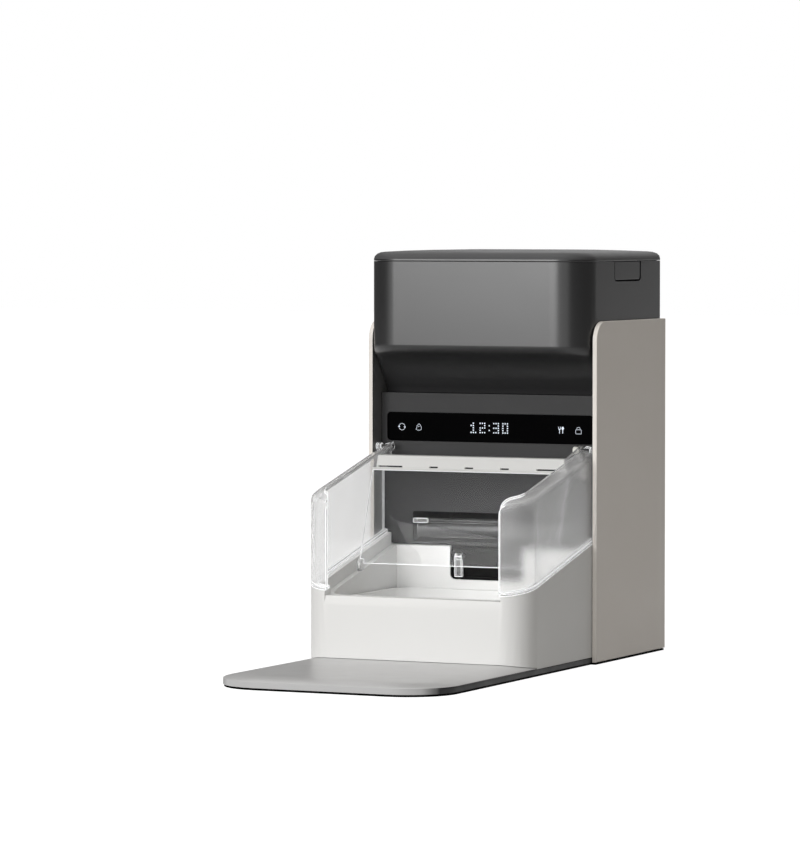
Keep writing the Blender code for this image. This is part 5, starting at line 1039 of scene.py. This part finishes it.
class FEEDER_OT_base(bpy.types.Operator):
    """Finish the platform, the base plate and the rubber mat"""

    bl_idname = "feeder.base"
    bl_label = "Platform, base and mat"

    def execute(self, context):
        dressed("platform_cover", platform_finish(), 0, sharp_from=40)
        dressed("base_plate", frame_finish(), sizes().fine_edge)
        dressed("anti_slip_mat", rubber_finish(), sizes().fine_edge)
        return {"FINISHED"}


class FEEDER_OT_outlet(bpy.types.Operator):
    """Finish the food chute, its small flap, rod and hinge cap"""

    bl_idname = "feeder.outlet"
    bl_label = "Food outlet"

    def execute(self, context):
        for node in ("outlet_chute", "outlet_flap_rod"):
            dressed(node, finish_of(node), sizes().fine_edge)
        rims_of(dressed("outlet_hinge_cap", guard_finish(), 0), sizes().flap_rim, painted_glow_rim_finish())
        # White tubes along the small flap's edges are painted highlight lines.
        rims_of(dressed("outlet_flap", flap_grey_finish(), 0), sizes().flap_rim / 2, tray_finish())
        return {"FINISHED"}


class FEEDER_OT_bowl_catch(bpy.types.Operator):
    """Finish the pocket and the small clear catch behind the bowl"""

    bl_idname = "feeder.bowl_catch"
    bl_label = "Bowl catch"

    def execute(self, context):
        # The pocket takes the near-black painted shade.
        dressed("latch_pocket", pocket_shade_finish(), sizes().fine_edge)
        rims_of(dressed("bowl_latch", guard_finish(), 0), sizes().guard_rim, painted_glow_rim_finish())
        dressed("bowl_latch_pin", finish_of("bowl_latch_pin"), sizes().fine_edge)
        return {"FINISHED"}


class FEEDER_OT_back(bpy.types.Operator):
    """Finish the rear cover, its screws, the battery door, the power inlet and the speaker"""

    bl_idname = "feeder.back"
    bl_label = "Back"

    def execute(self, context):
        for node in ("rear_cover", "battery_door", "power_socket", "speaker", "rear_screw_1",
                     "rear_screw_2", "rear_screw_3", "rear_screw_4"):
            dressed(node, finish_of(node), sizes().fine_edge)
        return {"FINISHED"}


class FEEDER_OT_works(bpy.types.Operator):
    """Give every inner piece that is left as packed the finish of its slot"""

    bl_idname = "feeder.works"
    bl_label = "Inner works"

    def execute(self, context):
        for node, obj in frame["nodes"].items():
            if not obj.hide_render:
                left_as_packed(node, finish_of(node))
        return {"FINISHED"}


# ------------------------------------------------------------------ studio

CAMERA_PLACE = (1.50254, -3.2411, 0.34567)
CAMERA_TURN = (math.radians(90 - 2.5681), 0, math.radians(25.3867))
CAMERA_LENS = 197.21
CAMERA_SENSOR = 36
CAMERA_REACH = 60
FLOOR_SIZE = 24
SURROUND_TINT = (1, 0.965, 0.91, 1)
WHITE = (1, 1, 1, 1)
BOARD_HEIGHT, BOARD_MIDDLE = 2.4, 0.8
RIGHT_BOARD = (1.4, -1.4, 4.5, 0.12)
LEFT_BOARD = (-1.9, -1.6, 4.0, 0.10)


def seen_rays(tree):
    """1 for rays from the camera, from gloss and through clear plastic, else 0."""
    path = tree.nodes.new("ShaderNodeLightPath")
    total = None
    for ray in ("Is Camera Ray", "Is Glossy Ray", "Is Transmission Ray"):
        if total is None:
            total = path.outputs[ray]
            continue
        most = tree.nodes.new("ShaderNodeMath")
        most.operation = "MAXIMUM"
        tree.links.new(total, most.inputs[0])
        tree.links.new(path.outputs[ray], most.inputs[1])
        total = most.outputs[0]
    return total


def softbox(name, place, aim, width, height, power):
    nothing_selected()
    bpy.ops.object.light_add(type="AREA", location=place)
    lamp = bpy.context.active_object
    lamp.name = name
    lamp.data.shape = "RECTANGLE"
    lamp.data.size = width
    lamp.data.size_y = height
    lamp.data.energy = power
    lamp.rotation_euler = (Vector(aim) - Vector(place)).to_track_quat("-Z", "Y").to_euler()
    lamp.visible_camera = False
    return lamp


def white_surround(strength):
    world = bpy.data.worlds.new("white_surround")
    bpy.context.scene.world = world
    world.use_nodes = True
    tree = world.node_tree
    background = next(node for node in tree.nodes if node.type == "BACKGROUND")
    level = tree.nodes.new("ShaderNodeMapRange")
    level.inputs["To Min"].default_value = strength
    level.inputs["To Max"].default_value = 1
    seen = seen_rays(tree)
    tree.links.new(seen, level.inputs["Value"])
    tree.links.new(level.outputs["Result"], background.inputs["Strength"])
    tone = tree.nodes.new("ShaderNodeMix")
    tone.data_type = "RGBA"
    tone.inputs[6].default_value = SURROUND_TINT
    tone.inputs[7].default_value = WHITE
    tree.links.new(seen, tone.inputs["Factor"])
    tree.links.new(tone.outputs[2], background.inputs["Color"])


def gloss_board(name, x, low_y, high_y, tone):
    """A board out of view that only gloss shows, so that dark plastic keeps shaded corners."""
    nothing_selected()
    bpy.ops.mesh.primitive_plane_add(
        size=1, location=(x, (low_y + high_y) / 2, BOARD_MIDDLE),
        rotation=(0, math.radians(-90), 0))
    board = bpy.context.active_object
    board.name = name
    board.scale = (BOARD_HEIGHT, high_y - low_y, 1)
    board.visible_camera = False
    board.visible_diffuse = False
    board.visible_transmission = False
    board.visible_shadow = False
    material, _tree, shader = new_finish(name)
    shader.inputs["Base Color"].default_value = (0, 0, 0, 1)
    shader.inputs["Specular IOR Level"].default_value = 0
    shader.inputs["Emission Color"].default_value = WHITE
    shader.inputs["Emission Strength"].default_value = tone
    give(board, material)
    settle(board)


def floor(shade, glow):
    nothing_selected()
    bpy.ops.mesh.primitive_plane_add(size=FLOOR_SIZE, location=(0, 0, 0))
    plane = bpy.context.active_object
    plane.name = "studio_floor"
    bpy.ops.object.mode_set(mode="EDIT")
    bpy.ops.mesh.subdivide(number_cuts=6)
    bpy.ops.object.mode_set(mode="OBJECT")
    material, tree, shader = new_finish("floor_white")
    shader.inputs["Base Color"].default_value = (shade, shade, shade, 1)
    shader.inputs["Roughness"].default_value = 0.9
    shader.inputs["Specular IOR Level"].default_value = 0.1
    shader.inputs["Emission Color"].default_value = WHITE
    level = tree.nodes.new("ShaderNodeMath")
    level.operation = "MULTIPLY"
    level.inputs[1].default_value = glow
    tree.links.new(seen_rays(tree), level.inputs[0])
    tree.links.new(level.outputs[0], shader.inputs["Emission Strength"])
    give(plane, material)


class FEEDER_OT_studio(bpy.types.Operator):
    """Set up the white floor and surround, the soft lamps and the camera"""

    bl_idname = "feeder.studio"
    bl_label = "Studio"

    def execute(self, context):
        studio = context.scene.feeder_studio
        floor(studio.floor_shade, studio.floor_glow)
        gloss_board("right_gloss_board", *RIGHT_BOARD)
        gloss_board("left_gloss_board", *LEFT_BOARD)
        white_surround(studio.surround)
        softbox("front_softbox", (-0.6, -2.7, 0.9), (0, 0, 0.18), 1.9, 1.6, studio.front_power)
        softbox("top_softbox", (-0.2, -0.5, 2.4), (0, 0, 0.1), 1.8, 1.8, studio.top_power)
        nothing_selected()
        bpy.ops.object.camera_add(location=CAMERA_PLACE, rotation=CAMERA_TURN)
        camera = bpy.context.active_object
        camera.name = "photo_camera"
        camera.data.lens = CAMERA_LENS
        camera.data.sensor_width = CAMERA_SENSOR
        camera.data.clip_end = CAMERA_REACH
        context.scene.camera = camera
        context.scene.view_settings.view_transform = "Standard"
        return {"FINISHED"}


OPERATORS = (
    FEEDER_OT_side_panels, FEEDER_OT_hopper, FEEDER_OT_lid, FEEDER_OT_fascia, FEEDER_OT_flap,
    FEEDER_OT_guards, FEEDER_OT_tray, FEEDER_OT_base, FEEDER_OT_outlet, FEEDER_OT_bowl_catch,
    FEEDER_OT_back, FEEDER_OT_works, FEEDER_OT_studio,
)


class FEEDER_PT_finish(bpy.types.Panel):
    """Lists the steps of the finish and its settings"""

    bl_idname = "FEEDER_PT_finish"
    bl_label = "Pet feeder finish"
    bl_space_type = "VIEW_3D"
    bl_region_type = "UI"
    bl_category = "Feeder"

    def draw(self, context):
        for operator in OPERATORS:
            self.layout.operator(operator.bl_idname)
        for settings in (context.scene.feeder_colours, context.scene.feeder_sizes,
                         context.scene.feeder_studio):
            box = self.layout.box()
            for name in settings.__annotations__:
                box.prop(settings, name)


CLASSES = (FeederColours, FeederSizes, FeederStudio, *OPERATORS, FEEDER_PT_finish)


def register():
    for item in CLASSES:
        bpy.utils.register_class(item)
    bpy.types.Scene.feeder_colours = bpy.props.PointerProperty(type=FeederColours)
    bpy.types.Scene.feeder_sizes = bpy.props.PointerProperty(type=FeederSizes)
    bpy.types.Scene.feeder_studio = bpy.props.PointerProperty(type=FeederStudio)


def unregister():
    del bpy.types.Scene.feeder_studio
    del bpy.types.Scene.feeder_sizes
    del bpy.types.Scene.feeder_colours
    for item in reversed(CLASSES):
        bpy.utils.unregister_class(item)


def plain(box):
    return [[float(value) for value in corner] for corner in box]


def main():
    register()
    bpy.ops.feeder.side_panels()
    bpy.ops.feeder.hopper()
    bpy.ops.feeder.lid()
    bpy.ops.feeder.fascia()
    bpy.ops.feeder.flap()
    bpy.ops.feeder.guards()
    bpy.ops.feeder.tray()
    bpy.ops.feeder.base()
    bpy.ops.feeder.outlet()
    bpy.ops.feeder.bowl_catch()
    bpy.ops.feeder.back()
    bpy.ops.feeder.works()
    bpy.ops.feeder.studio()
    nothing_selected()


if __name__ == "__main__":
    main()
